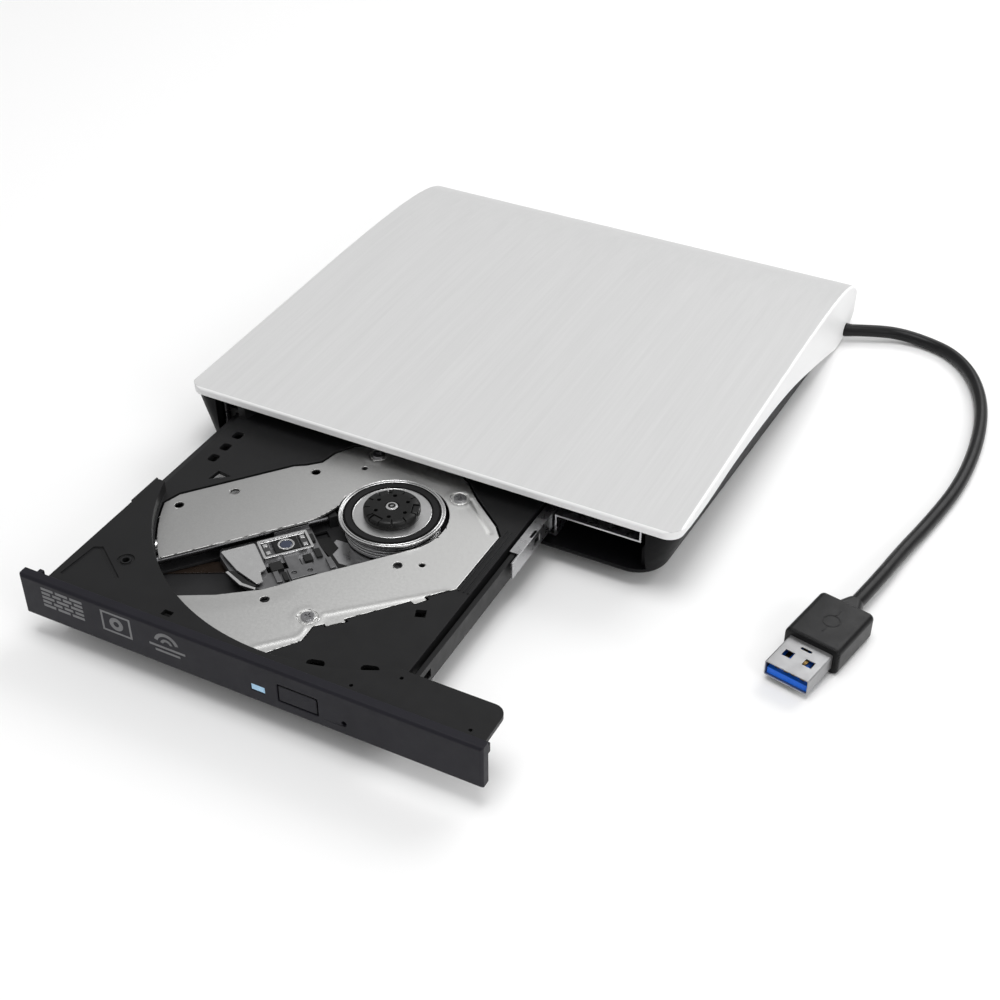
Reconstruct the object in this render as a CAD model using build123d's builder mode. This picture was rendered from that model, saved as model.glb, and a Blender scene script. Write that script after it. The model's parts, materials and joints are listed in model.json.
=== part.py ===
from build123d import *
from math import atan2, cos, degrees, pi, radians, sin, tan
import os

# External optical drive, tray partly open. Millimetres, +Z up, the table top is z = 0.
# X runs across the enclosure, +Y towards its rear. The origin is under the middle of the
# enclosure and the open tray together, without the cable.

# ---------------------------------------------------------------- driving dimensions
ENCLOSURE_W = 148.5
ENCLOSURE_D = 151.0
TRAY_OPEN = 83.5            # how far the tray stands out as modelled
BASE_Z = 4.7                # underside of the lower shell above the table

DRIVE_W = 128.0             # the standard slim drive: 128 wide and 12.7 high
DRIVE_H = 12.7
DRIVE_D = 123.0
DRIVE_X = -1.0              # middle of the drive, a little left of the middle of the case
SHEET = 0.5                 # sheet steel

DISC_R = 60.0
RECESS_R = DISC_R + 1.0
HUB_X = 2.0
HUB_SETBACK = 66.0          # spindle axis behind the face of the bezel
CHUCK_R = 7.45              # fits the 15 mm hole of a disc
SLED_ANGLE = 229.5          # direction in which the pickup moves away from the hub, degrees

CABLE_D = 3.8

# ---------------------------------------------------------------- worked out from them
FRONT = -(ENCLOSURE_D - TRAY_OPEN) / 2
BEZEL_FACE = FRONT - TRAY_OPEN
HUB_Y = BEZEL_FACE + HUB_SETBACK
DRIVE_Z = BASE_Z + 2.1
DRIVE_TOP = DRIVE_Z + DRIVE_H
DRIVE_L = DRIVE_X - DRIVE_W / 2
DRIVE_R = DRIVE_X + DRIVE_W / 2
DRIVE_FRONT = FRONT + 3.4
DRIVE_REAR = DRIVE_FRONT + DRIVE_D
HALF_W = ENCLOSURE_W / 2

STEP_X = 39.2               # right of this the drive's floor is raised
STEP_Z = BASE_Z + 9.2
SLAB_Z = DRIVE_TOP - SHEET - 0.3    # top of the tray
RECESS_Z = SLAB_Z - 3.4     # floor of the disc recess
DECK_Z = RECESS_Z - 0.3     # top of the steel deck plate
SEAT_Z = DECK_Z + 1.1       # where the disc rests on the turntable


def depth(d):
    """Y of a point d behind the front edge of the enclosure."""
    return FRONT + d


def level(h):
    """Z of a point h above the underside of the lower shell."""
    return BASE_Z + h


def behind(d):
    """Y of a point d behind the face of the bezel, on the tray."""
    return BEZEL_FACE + d


def traverse(z):
    """Plane at height z with its origin on the spindle axis and x along the pickup's travel."""
    angle = radians(SLED_ANGLE)
    return Plane(origin=(HUB_X, HUB_Y, z), x_dir=(cos(angle), sin(angle), 0), z_dir=(0, 0, 1))


def finish(builder, name):
    """Label a finished sub-part and write its STEP file."""
    builder.part.label = name
    export_step(builder.part, f"parts/{name}.step")


os.makedirs("parts", exist_ok=True)

# ================================================================ enclosure
# Side profile of the upper cover: a nearly flat top that rolls over the rear into a thick
# rounded end, whose lowest line carries the rear of the drive.
RIM = [(8.0, 14.2), (34.0, 13.4), (62.0, 11.8), (88.0, 8.2), (110.0, 2.6), (128.0, -2.6)]
ROLL_LOW = (136.0, -4.2)
ROLL_REAR = (ENCLOSURE_D, 5.0)
LIP_H = 15.1                # underside of the front lip
CEILING_H = 15.1
SIDE_WALL = 3.9


def at(points):
    """Points of a side profile, given as (behind the front edge, above the lower shell)."""
    return [(depth(d), level(h)) for d, h in points]


def plan_outline(half, front, rear, front_r, rear_r):
    """Rectangle from front to rear with its front and rear corners rounded."""
    with BuildSketch() as outline:
        with Locations((0, (front + rear) / 2)):
            Rectangle(2 * half, rear - front)
        corners = outline.vertices().sort_by(Axis.Y)
        fillet(corners[:2], front_r)
        fillet(outline.vertices().group_by(Axis.Y)[-1], rear_r)
    return outline.sketch


BOSSES = [(-67.3, 24.0), (66.6, 24.0), (-67.3, 108.0), (66.6, 108.0)]
GLAND_AT = (HALF_W, depth(140.95), 3.7)
GLAND_R = 2.1

with BuildPart() as top_cover:
    with BuildSketch(Plane.YZ) as side:
        with BuildLine():
            Polyline(at([(2.4, LIP_H), (0, LIP_H), (0, 16.7)]))
            CenterArc((depth(0.8), level(16.7)), 0.8, 180, -90)
            Spline(at([(0.8, 17.5), (60, 18.2), (114, 17.8), (132, 16.3), (142, 14.0),
                       (148.2, 10.4), ROLL_REAR]), tangents=((1, 0.01), (0, -1)))
            Spline(at([ROLL_REAR, (149.4, 0.2), (144.5, -2.8), ROLL_LOW]),
                   tangents=((0, -1), (-1, 0)))
            Spline(at([ROLL_LOW] + RIM[::-1]), tangents=((-1, 0), (-1, 0.1)))
            Line(at([RIM[0]])[0], at([(2.4, LIP_H)])[0])
        make_face()
    extrude(amount=HALF_W, both=True)
    ends = top_cover.faces().sort_by(Axis.X)
    fillet(ends[0].edges() + ends[-1].edges(), 0.8)
    add(plan_outline(HALF_W, FRONT, FRONT + ENCLOSURE_D, 4.5, 2.0))
    extrude(amount=60, both=True, mode=Mode.INTERSECT)
    with BuildSketch(Plane.YZ) as hollow:
        with BuildLine():
            Polyline(at([(118, 2.0), (118, -9), (2.4, -9), (2.4, CEILING_H), (127.0, CEILING_H),
                         (140, 12.0), (146.5, 8.6)]))
            Spline(at([(146.5, 8.6), (148.2, 5.0), (145.6, 0.0), (136.0, -2.1), (128, -0.4),
                       (118, 2.0)]))
        make_face()
    extrude(amount=HALF_W - SIDE_WALL, both=True, mode=Mode.SUBTRACT)
    for x, d in BOSSES:
        with BuildSketch(Plane.XY.offset(level(6.0))):
            with Locations((x, depth(d))):
                Circle(1.5)
        extrude(amount=CEILING_H - 5.9)
        with BuildSketch(Plane.XY.offset(level(6.0))):
            with Locations((x, depth(d))):
                Circle(0.8)
        extrude(amount=7.0, mode=Mode.SUBTRACT)
    with BuildSketch(Plane.XY.offset(-1)):
        with Locations((-45, depth(136)), (45, depth(136))):
            SlotOverall(42, 5.0)
    extrude(amount=2.2, mode=Mode.SUBTRACT)
    with BuildSketch(Plane(origin=(HALF_W - 5, GLAND_AT[1], GLAND_AT[2]), z_dir=(1, 0, 0))):
        Circle(GLAND_R + 0.05)
    extrude(amount=8, mode=Mode.SUBTRACT)
finish(top_cover, "top_cover")

# Black lower shell: its sides lean in towards the bottom, most at the right front corner, and
# its front is cut away for the drive.
SHELL_WALL = 1.8
SHELL_TOP = 74.1            # half its width at SHELL_RISE above the underside
SHELL_RISE = 14.9
LOW_LEFT = 71.2             # x of the underside's left and right front corners
LOW_RIGHT = 68.0
LOW_REAR = 73.0             # half the width of its rear
GAP = 0.5                   # open joint between the two shells
MOUTH_R = 65.3              # right end of the notch in the front wall
FEET = [(-54, 17), (54, 17)]


def underside_outline(inset, front, rear, front_r):
    """Outline of the shell's underside, its sides moved in by inset."""
    with BuildSketch() as outline:
        with BuildLine():
            Polyline((inset - LOW_LEFT, front), (LOW_RIGHT - inset, front), (LOW_REAR - inset, rear),
                     (inset - LOW_REAR, rear), close=True)
        make_face()
        fillet(outline.vertices().group_by(Axis.Y)[0], front_r)
        fillet(outline.vertices().group_by(Axis.Y)[-1], 1.0)
    return outline.sketch


with BuildPart() as bottom_cover:
    with BuildSketch(Plane.XY.offset(level(0))):
        add(underside_outline(0, depth(0.6), depth(117.6), 9.0))
    with BuildSketch(Plane.XY.offset(level(SHELL_RISE))):
        add(plan_outline(SHELL_TOP, depth(0.3), depth(117.6), 6.0, 1.0))
    loft()
    fillet(bottom_cover.faces().sort_by(Axis.Z)[0].edges(), 0.8)
    with BuildSketch(Plane.XY.offset(level(1.7))):
        add(underside_outline(SHELL_WALL - 0.6, depth(3.2), depth(130), 7.0))
    with BuildSketch(Plane.XY.offset(level(SHELL_RISE + 1))):
        add(plan_outline(SHELL_TOP + 0.4 - SHELL_WALL, depth(3.2), depth(130), 4.2, 1.0))
    loft(mode=Mode.SUBTRACT)
    with BuildSketch(Plane.YZ):
        with BuildLine():
            Polyline(at([(-2, LIP_H - GAP), (2.4, LIP_H - GAP), (RIM[0][0], RIM[0][1] - GAP)]))
            Spline(at([(d, h - GAP) for d, h in RIM]), tangents=((1, -0.1), (1, -0.2)))
            Polyline(at([(RIM[-1][0], RIM[-1][1] - GAP), (128, 30), (-2, 30), (-2, LIP_H - GAP)]))
        make_face()
    extrude(amount=90, both=True, mode=Mode.SUBTRACT)
    with BuildSketch(Plane.XY.offset(level(1.7))):
        with Locations((DRIVE_X, depth(0))):
            Rectangle(DRIVE_W + 1.0, 12)
        with Locations((MOUTH_R - 2.0, depth(0))):
            Rectangle(4.0, 6.4)
    extrude(amount=20, mode=Mode.SUBTRACT)
    for x, d in BOSSES:
        with BuildSketch(Plane.XY.offset(level(0))):
            with Locations((x, depth(d))):
                Circle(2.1)
        extrude(amount=5.8)
        with BuildSketch(Plane.XY.offset(level(-1))):
            with Locations((x, depth(d))):
                Circle(1.0)
        extrude(amount=8, mode=Mode.SUBTRACT)
        with BuildSketch(Plane.XY.offset(level(-1))):
            with Locations((x, depth(d))):
                Circle(1.75)
        extrude(amount=2.6, mode=Mode.SUBTRACT)
    with BuildSketch(Plane.XY.offset(level(0.2))):
        with Locations(*[(x, depth(d)) for x, d in FEET]):
            Circle(7.0)
    extrude(amount=-3.4)
    with BuildSketch(Plane.XY.offset(level(-4))):
        with Locations(*[(x, depth(d)) for x, d in FEET]):
            Circle(5.6)
    extrude(amount=1.6, mode=Mode.SUBTRACT)
    with BuildSketch(Plane.XY.offset(level(-1))):
        with Locations((0, depth(62))):
            RectangleRounded(70, 44, 3)
    extrude(amount=1.25, mode=Mode.SUBTRACT)
    with BuildSketch(Plane.XY.offset(level(-1))):
        with Locations((0, depth(100))):
            with GridLocations(5.0, 1, 13, 1):
                SlotOverall(9, 1.6, rotation=90)
    extrude(amount=4, mode=Mode.SUBTRACT)
finish(bottom_cover, "bottom_cover")

with BuildPart() as rubber_feet:
    with BuildSketch():
        with Locations(*[(x, depth(d)) for x, d in FEET]):
            Circle(5.4)
    extrude(amount=level(-2.4))
    with BuildSketch():
        with Locations((-45, depth(136)), (45, depth(136))):
            SlotOverall(41.6, 4.6)
    extrude(amount=1.15)
    fillet(rubber_feet.faces().group_by(Axis.Z)[0].edges(), 0.3)
finish(rubber_feet, "rubber_feet")


def screw(x, y, z, head_r, head_h, shank_r, shank_l, up=True):
    """One screw whose head's outer face is at z, its shank pointing up or down."""
    way = 1 if up else -1
    with BuildPart() as one:
        with BuildSketch(Plane.XY.offset(z)):
            with Locations((x, y)):
                Circle(head_r)
        extrude(amount=way * head_h)
        with BuildSketch(Plane.XY.offset(z)):
            with Locations((x, y)):
                Circle(shank_r)
        extrude(amount=way * (head_h + shank_l))
        chamfer(one.faces().filter_by(GeomType.PLANE).sort_by(Axis.Z)[0 if up else -1].edges(),
                0.18 * head_h)
        with BuildSketch(Plane.XY.offset(z)):
            with Locations((x, y)):
                Rectangle(head_r * 1.1, head_r * 0.26)
                Rectangle(head_r * 0.26, head_r * 1.1)
        extrude(amount=way * head_h * 0.6, mode=Mode.SUBTRACT)
    return one.part


with BuildPart() as cover_screws:
    for x, d in BOSSES:
        add(screw(x, depth(d), level(0.3), 1.6, 1.2, 0.75, 10.0))
finish(cover_screws, "cover_screws")

# ---------------------------------------------------------------- drive case
with BuildPart() as drive_chassis:
    with BuildSketch(Plane.XZ.offset(-DRIVE_FRONT)) as section:
        wall_top = DRIVE_TOP - SHEET - 0.05
        floor_w = STEP_X - DRIVE_L
        with Locations((DRIVE_L + floor_w / 2, DRIVE_Z + SHEET / 2)):
            Rectangle(floor_w, SHEET)
        with Locations((DRIVE_L + SHEET / 2, (DRIVE_Z + wall_top) / 2)):
            Rectangle(SHEET, wall_top - DRIVE_Z)
        with Locations((STEP_X - SHEET / 2, (DRIVE_Z + STEP_Z) / 2)):
            Rectangle(SHEET, STEP_Z - DRIVE_Z)
        with Locations(((STEP_X - SHEET + DRIVE_R) / 2, STEP_Z - SHEET / 2)):
            Rectangle(DRIVE_R - STEP_X + SHEET, SHEET)
        with Locations((DRIVE_R - SHEET / 2, (STEP_Z - SHEET + wall_top) / 2)):
            Rectangle(SHEET, wall_top - STEP_Z + SHEET)
    extrude(amount=-DRIVE_D)
    with BuildSketch(Plane.XZ.offset(-DRIVE_REAR)):
        with Locations(((DRIVE_L + STEP_X) / 2, (DRIVE_Z + wall_top) / 2)):
            Rectangle(STEP_X - DRIVE_L, wall_top - DRIVE_Z)
        with Locations(((STEP_X + DRIVE_R) / 2 - 0.1, (STEP_Z - SHEET + wall_top) / 2)):
            Rectangle(DRIVE_R - STEP_X + 0.2, wall_top - STEP_Z + SHEET)
        with Locations((-36, DRIVE_Z + 4.0)):
            Rectangle(36, 5.0, mode=Mode.SUBTRACT)
    extrude(amount=SHEET)
    with BuildSketch(Plane.XY.offset(DRIVE_Z - 1)):
        with Locations((-12, depth(55))):
            RectangleRounded(60, 22, 4)
            RectangleRounded(57, 19, 3, mode=Mode.SUBTRACT)
    extrude(amount=1.2, mode=Mode.SUBTRACT)
finish(drive_chassis, "drive_chassis")

with BuildPart() as drive_top_plate:
    with BuildSketch(Plane.XY.offset(DRIVE_TOP - SHEET)):
        with Locations((DRIVE_X, DRIVE_FRONT + DRIVE_D / 2)):
            Rectangle(DRIVE_W, DRIVE_D)
    extrude(amount=SHEET)
    with BuildSketch(Plane.XY.offset(DRIVE_TOP - 0.15)):
        with Locations((HUB_X, HUB_Y + TRAY_OPEN)):
            Circle(46)
            Circle(44, mode=Mode.SUBTRACT)
            Circle(16)
            Circle(14.5, mode=Mode.SUBTRACT)
    extrude(amount=1, mode=Mode.SUBTRACT)
finish(drive_top_plate, "drive_top_plate")

BOARD_Z = DRIVE_Z + SHEET + 0.6
with BuildPart() as main_board:
    with BuildSketch(Plane.XY.offset(BOARD_Z)):
        with Locations((-12, depth(108.5))):
            Rectangle(92, 31)
        with Locations((26, depth(96))):
            Rectangle(18, 8, mode=Mode.SUBTRACT)
    extrude(amount=0.9)
    with BuildSketch(Plane.XY.offset(DRIVE_Z + SHEET)):
        with Locations((-55, depth(120)), (30, depth(120)), (-55, depth(97))):
            Circle(1.6)
    extrude(amount=0.6)
finish(main_board, "main_board")

with BuildPart() as main_board_chips:
    with BuildSketch(Plane.XY.offset(BOARD_Z + 0.9)):
        with Locations((-16, depth(106))):
            Rectangle(14, 14)
        with Locations((8, depth(108)), (-38, depth(103))):
            Rectangle(8, 6)
        with Locations((20, depth(112))):
            Rectangle(5, 7)
        with Locations((-46, depth(110))):
            with GridLocations(2.4, 3.2, 4, 2):
                Rectangle(1.2, 0.8)
    extrude(amount=0.9)
finish(main_board_chips, "main_board_chips")

with BuildPart() as flex_cable:
    with BuildSketch(Plane.XY.offset(DRIVE_Z + SHEET + 0.05)):
        with Locations((12, depth(72))):
            Rectangle(16, 38)
    extrude(amount=0.18)
finish(flex_cable, "flex_cable")

# Slim drive connector on the bridge board, plugged into the rear of the drive.
with BuildPart() as drive_connector:
    with BuildSketch(Plane.XY.offset(DRIVE_Z + 1.9)):
        with Locations((-36, DRIVE_REAR + 3.1)):
            Rectangle(34, 5.6)
    extrude(amount=4.2)
    with BuildSketch(Plane.XZ.offset(-(DRIVE_REAR + 0.2))):
        with Locations((-40, DRIVE_Z + 4.0)):
            Rectangle(20, 1.6)
        with Locations((-24, DRIVE_Z + 4.0)):
            Rectangle(8, 1.6)
    extrude(amount=-2.5, mode=Mode.SUBTRACT)
finish(drive_connector, "drive_connector")

BRIDGE_Z = level(1.0)
with BuildPart() as bridge_board:
    with BuildSketch(Plane.XY.offset(BRIDGE_Z)):
        with Locations((-2, depth(137))):
            Rectangle(118, 11)
    extrude(amount=1.0)
    with BuildSketch(Plane.XY.offset(BRIDGE_Z + 1.0)):
        with Locations((-36, DRIVE_REAR + 6.6)):
            Rectangle(30, 1.0)
    extrude(amount=2.0)
finish(bridge_board, "bridge_board")

with BuildPart() as bridge_chips:
    with BuildSketch(Plane.XY.offset(BRIDGE_Z + 1.0)):
        with Locations((10, depth(137))):
            Rectangle(8, 8)
        with Locations((25, depth(137))):
            Rectangle(5, 4)
        with Locations((38, depth(137))):
            with GridLocations(2.6, 3.4, 3, 2):
                Rectangle(1.6, 0.9)
    extrude(amount=1.1)
finish(bridge_chips, "bridge_chips")

# Fixed guides in which the two steel slide rails run.
with BuildPart() as rail_guides:
    with BuildSketch(Plane.XZ.offset(-depth(5))):
        with Locations((-62.6, DRIVE_Z + 4.0)):
            Rectangle(3.4, 7.0)
        with Locations((-61.6, DRIVE_Z + 4.0)):
            Rectangle(2.0, 4.2, mode=Mode.SUBTRACT)
        with Locations((37.85, DRIVE_Z + 1.5)):
            Rectangle(1.5, 2.0)
    extrude(amount=-110)
finish(rail_guides, "rail_guides")

# ================================================================ slide rails
LEFT_RAIL_FRONT = behind(37.5)
RIGHT_RAIL_FRONT = behind(63.5)
RIGHT_RAIL_L = 92.0
FLANGE_SETBACK = 4.0
with BuildPart() as left_slide_rail:
    with BuildSketch(Plane.XZ.offset(-LEFT_RAIL_FRONT)):
        with Locations((-60.65, DRIVE_Z + 4.0)):
            Rectangle(3.5, 3.6)
        with Locations((-60.15, DRIVE_Z + 4.0)):
            Rectangle(3.5, 2.8, mode=Mode.SUBTRACT)
    extrude(amount=-112)
    with BuildSketch(Plane.XZ.offset(-LEFT_RAIL_FRONT)):
        with Locations((-59.35, (DRIVE_Z + 5.5 + SLAB_Z - 0.7) / 2)):
            Rectangle(0.5, SLAB_Z - 0.7 - DRIVE_Z - 5.5)
    extrude(amount=-11)
finish(left_slide_rail, "left_slide_rail")

with BuildPart() as right_slide_rail:
    with BuildSketch(Plane.XZ.offset(-RIGHT_RAIL_FRONT)):
        with Locations((37.95, DRIVE_Z + 5.2)):
            Rectangle(0.5, 5.1)
    extrude(amount=-RIGHT_RAIL_L)
    with BuildSketch(Plane.XZ.offset(-RIGHT_RAIL_FRONT - FLANGE_SETBACK)):
        with Locations((36.75, DRIVE_Z + 7.55)):
            Rectangle(2.9, 0.4)
    extrude(amount=FLANGE_SETBACK - RIGHT_RAIL_L)
    with BuildSketch(Plane.YZ.offset(36)):
        with Locations((RIGHT_RAIL_FRONT + 14, DRIVE_Z + 5.2)):
            Rectangle(3.0, 2.0)
    extrude(amount=3, mode=Mode.SUBTRACT)
    with BuildSketch(Plane.XY.offset(DRIVE_Z + 7)):
        with Locations((37.6, RIGHT_RAIL_FRONT + 13)):
            Rectangle(0.8, 3.4)
    extrude(amount=2, mode=Mode.SUBTRACT)
finish(right_slide_rail, "right_slide_rail")

# ================================================================ tray
TRAY_L = -58.5
TRAY_R = 36.9
TRAY_FRONT = 3.0            # distances below are behind the bezel's face
TRAY_REAR = 121.0
TRAY_STEP = 92.0            # behind this the underside is raised over the main board
TRAY_LOW = DRIVE_Z + 1.4
TRAY_RAISED = DRIVE_Z + 4.1
SKIN = 1.2
GROOVE_X = 34.6
SIDE_TOP = DRIVE_Z + 7.2    # top of the low wall on the tray's right side
SHELF_R = 62.0
SHELF_D = 14.5
LED_AT = (4.2, DRIVE_Z + 4.65)
BUTTON_AT = (15.2, DRIVE_Z + 5.9)
PINHOLE_AT = (27.5, DRIVE_Z + 4.0)


def hub_point(radius, angle):
    """Point on a circle about the spindle axis."""
    return (HUB_X + radius * cos(radians(angle)), HUB_Y + radius * sin(radians(angle)))


def deck_outline():
    """Plan outline of the deck plate, given as (x, behind the bezel's face)."""
    right = [(6.6, 15.3), (6.4, 20.5), (8.4, 22.8), (9.2, 22.2), (12.5, 25.7), (11.6, 26.3),
             (22.7, 39.3), (24.0, 38.7), (25.9, 41.4), (25.0, 42.0), (30.4, 48.2), (30.6, 70.8),
             (27.7, 74.3), (17.7, 82.3), (12.7, 87.3), (6.0, 91.5)]
    left = [(-16.0, 91.5), (-22.3, 87.3), (-25.3, 82.3), (-26.3, 77.3), (-29.3, 74.3),
            (-32.3, 72.3), (-52.3, 48.3)]
    start = hub_point(DECK_R, 268)
    stop = hub_point(DECK_R, 202)
    middle = hub_point(DECK_R, 236)
    with BuildSketch() as outline:
        with BuildLine():
            ThreePointArc(stop, middle, start)
            Polyline([start] + [(x, behind(d)) for x, d in right + left] + [stop])
        make_face()
    return outline.sketch


DECK_R = 60.2
with BuildPart() as tray:
    with BuildSketch(Plane.XY.offset(TRAY_LOW)):
        with Locations(((TRAY_L + TRAY_R) / 2, behind((TRAY_FRONT + TRAY_REAR) / 2))):
            Rectangle(TRAY_R - TRAY_L, TRAY_REAR - TRAY_FRONT)
    extrude(amount=SLAB_Z - TRAY_LOW)
    fillet(tray.edges().filter_by(Axis.Z).group_by(Axis.Y)[-1], 3.0)
    # shelf that fills the right end of the drive's mouth
    with BuildSketch(Plane.XY.offset(SLAB_Z - 1.4)) as shelf:
        with Locations(((20 + SHELF_R) / 2, behind((TRAY_FRONT + SHELF_D) / 2))):
            Rectangle(SHELF_R - 20, SHELF_D - TRAY_FRONT)
        fillet(shelf.vertices().group_by(Axis.X)[-1].sort_by(Axis.Y)[-1], 3.2)
    extrude(amount=1.4)
    # disc recess, the low left edge beside it, and the low right side
    with BuildSketch(Plane.XY.offset(RECESS_Z)):
        with Locations((HUB_X, HUB_Y)):
            Circle(RECESS_R)
        with Locations((TRAY_L, behind(66))):
            Rectangle(14, 37)
    extrude(amount=20, mode=Mode.SUBTRACT)
    with BuildSketch(Plane.XY.offset(SIDE_TOP)):
        with Locations((TRAY_R, behind((SHELF_D + 130) / 2))):
            Rectangle(2 * (TRAY_R - GROOVE_X), 130 - SHELF_D)
    extrude(amount=20, mode=Mode.SUBTRACT)
    with BuildSketch(Plane.XY.offset(DRIVE_Z + 5.2)):
        with Locations((GROOVE_X + 0.5, behind((SHELF_D + 130) / 2))):
            Rectangle(1.0, 130 - SHELF_D)
    extrude(amount=20, mode=Mode.SUBTRACT)
    # hollow underside
    with BuildSketch(Plane.XY.offset(TRAY_LOW - 1)):
        with Locations((-11, behind((TRAY_STEP + 130) / 2))):
            Rectangle(120, 130 - TRAY_STEP)
    extrude(amount=TRAY_RAISED - TRAY_LOW + 1, mode=Mode.SUBTRACT)
    with BuildSketch(Plane.XY.offset(TRAY_LOW - 1)):
        with Locations(((TRAY_L + GROOVE_X) / 2 - 0.05, behind(62.5))):
            Rectangle(GROOVE_X - TRAY_L - 2.5, 116)
    extrude(amount=RECESS_Z - SKIN - TRAY_LOW + 1, mode=Mode.SUBTRACT)
    with BuildSketch(Plane.XY.offset(TRAY_LOW - 1)):
        with Locations(((TRAY_L + GROOVE_X) / 2 - 0.05, behind(62.5))):
            Rectangle(GROOVE_X - TRAY_L - 2.5, 116)
        with Locations((HUB_X, HUB_Y)):
            Circle(RECESS_R + 1.5, mode=Mode.SUBTRACT)
    extrude(amount=SLAB_Z - 1.4 - TRAY_LOW + 1, mode=Mode.SUBTRACT)
    # opening for the traverse unit
    with BuildSketch(Plane.XY.offset(RECESS_Z - 5)):
        add(offset(deck_outline(), 0.5, kind=Kind.INTERSECTION))
    extrude(amount=10, mode=Mode.SUBTRACT)
    # runner for the left rail and ribs beside the deck
    with BuildSketch(Plane.XZ.offset(-behind(12))):
        with Locations((-60.0, DRIVE_Z + 4.0)):
            Rectangle(3.2, 2.0)
    extrude(amount=-107)
    with BuildSketch(Plane.XY.offset(RECESS_Z)):
        with Locations((32.8, behind(60.5))):
            with GridLocations(1.3, 1, 3, 1):
                Rectangle(0.5, 26)
    extrude(amount=0.3)
    # small features of the moulding
    with BuildSketch(Plane.XY.offset(RECESS_Z - 3)):
        with Locations(*[(-53.6, behind(d)) for d in (65.4, 71.0, 77.0)]):
            RectangleRounded(2.6, 3.0, 0.7)
        with Locations((27.2, behind(36.2))):
            Rectangle(2.6, 2.6, rotation=20)
        with Locations(hub_point(57.2, 282), hub_point(57.2, 295)):
            SlotOverall(4.4, 2.4, rotation=15)
        with BuildLine():
            Polyline((-49.4, behind(57.0)), (-44.7, behind(60.6)), (-49.0, behind(61.2)),
                     (-49.4, behind(57.0)))
        make_face()
    extrude(amount=6, mode=Mode.SUBTRACT)
    with BuildSketch(Plane.XY.offset(SLAB_Z - 4)):
        with Locations((-24.5, behind(5.6))):
            Rectangle(2.6, 1.8)
        with Locations((-45.4, behind(17.0))):
            Circle(0.9)
        with Locations((27.0, behind(4.8)), (57.5, behind(4.8)), (36.0, behind(12.0))):
            Circle(0.45)
    extrude(amount=6, mode=Mode.SUBTRACT)
    with BuildSketch(Plane.XY.offset(SLAB_Z - 0.4)):
        with BuildLine():
            Polyline((-56.2, behind(5.7)), (-55.2, behind(17.1)), (-53.6, behind(17.9)),
                     (-43.1, behind(10.4)))
        trace(line_width=1.0)
        with Locations((-45.4, behind(17.0))):
            Circle(2.2)
            Circle(1.4, mode=Mode.SUBTRACT)
    extrude(amount=1, mode=Mode.SUBTRACT)
    with BuildSketch(Plane.XZ.offset(-behind(TRAY_FRONT - 1))):
        with Locations(LED_AT):
            Rectangle(3.4, 1.6)
        with Locations(BUTTON_AT):
            Rectangle(4.0, 3.0)
        with Locations(PINHOLE_AT):
            Circle(0.8)
    extrude(amount=-3.5, mode=Mode.SUBTRACT)
    with BuildSketch(Plane.YZ.offset(32.0)):
        with Locations((behind(17.3), DRIVE_Z + 4.1)):
            Rectangle(12.6, 2.4)
    extrude(amount=6, mode=Mode.SUBTRACT)
finish(tray, "tray")

UNDER_T = 0.4
TRAY_SCREWS = [(-54.8, 23.0), (-54.0, 88.0), (32.0, 88.0), (31.0, 36.0)]
DECK_SCREWS = [(14.3, 80.1), (3.6, 22.9), (-14.5, 87.0)]
LATCH_AT = (30.5, 22.0)
POST_Z = DRIVE_Z + 4.4
with BuildPart() as tray_under_cover:
    with BuildSketch(Plane.XY.offset(TRAY_LOW)):
        with Locations(((TRAY_L + GROOVE_X) / 2, behind(47.8))):
            Rectangle(GROOVE_X - TRAY_L - 3.1, 86.2)
        with Locations((-51, behind(67.5))):
            Rectangle(14, 24, mode=Mode.SUBTRACT)
        with Locations(*[(x, behind(d)) for x, d in TRAY_SCREWS]):
            Circle(0.8, mode=Mode.SUBTRACT)
    extrude(amount=UNDER_T)
    with BuildSketch(Plane.XY.offset(TRAY_LOW + UNDER_T)):
        with Locations(*[(x, behind(d)) for x, d in DECK_SCREWS]):
            Circle(2.6)
            Circle(0.8, mode=Mode.SUBTRACT)
    extrude(amount=POST_Z - TRAY_LOW - UNDER_T)
    with BuildSketch(Plane.XY.offset(TRAY_LOW + UNDER_T)):
        with Locations((LATCH_AT[0], behind(LATCH_AT[1]))):
            Circle(1.0)
    extrude(amount=4.4)
finish(tray_under_cover, "tray_under_cover")

with BuildPart() as tray_screws:
    for x, d in TRAY_SCREWS:
        add(screw(x, behind(d), TRAY_LOW - 0.4, 1.3, 0.4, 0.7, 5.5))
finish(tray_screws, "tray_screws")

with BuildPart() as bezel:
    with BuildSketch(Plane.XZ.offset(-behind(2.9))):
        with Locations((DRIVE_X, DRIVE_Z + 0.1 + 12.65 / 2)):
            Rectangle(DRIVE_W, 12.65)
    extrude(amount=2.9)
    chamfer(bezel.faces().sort_by(Axis.Y)[0].edges(), 0.6)
    with BuildSketch(Plane.XZ.offset(-behind(3.5))):
        with Locations(LED_AT):
            Rectangle(3.8, 1.9)
        with Locations(BUTTON_AT):
            RectangleRounded(11.0, 5.4, 0.4)
        with Locations(PINHOLE_AT):
            Circle(0.65)
    extrude(amount=5, mode=Mode.SUBTRACT)
    with BuildSketch(Plane.XZ.offset(-behind(2.9))):
        with Locations((-61.5, DRIVE_Z + 9.0)):
            Rectangle(1.4, 5.6)
        with Locations((60.0, DRIVE_Z + 9.1)):
            Rectangle(5.0, 2.8)
    extrude(amount=-1.9)
finish(bezel, "bezel")

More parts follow.
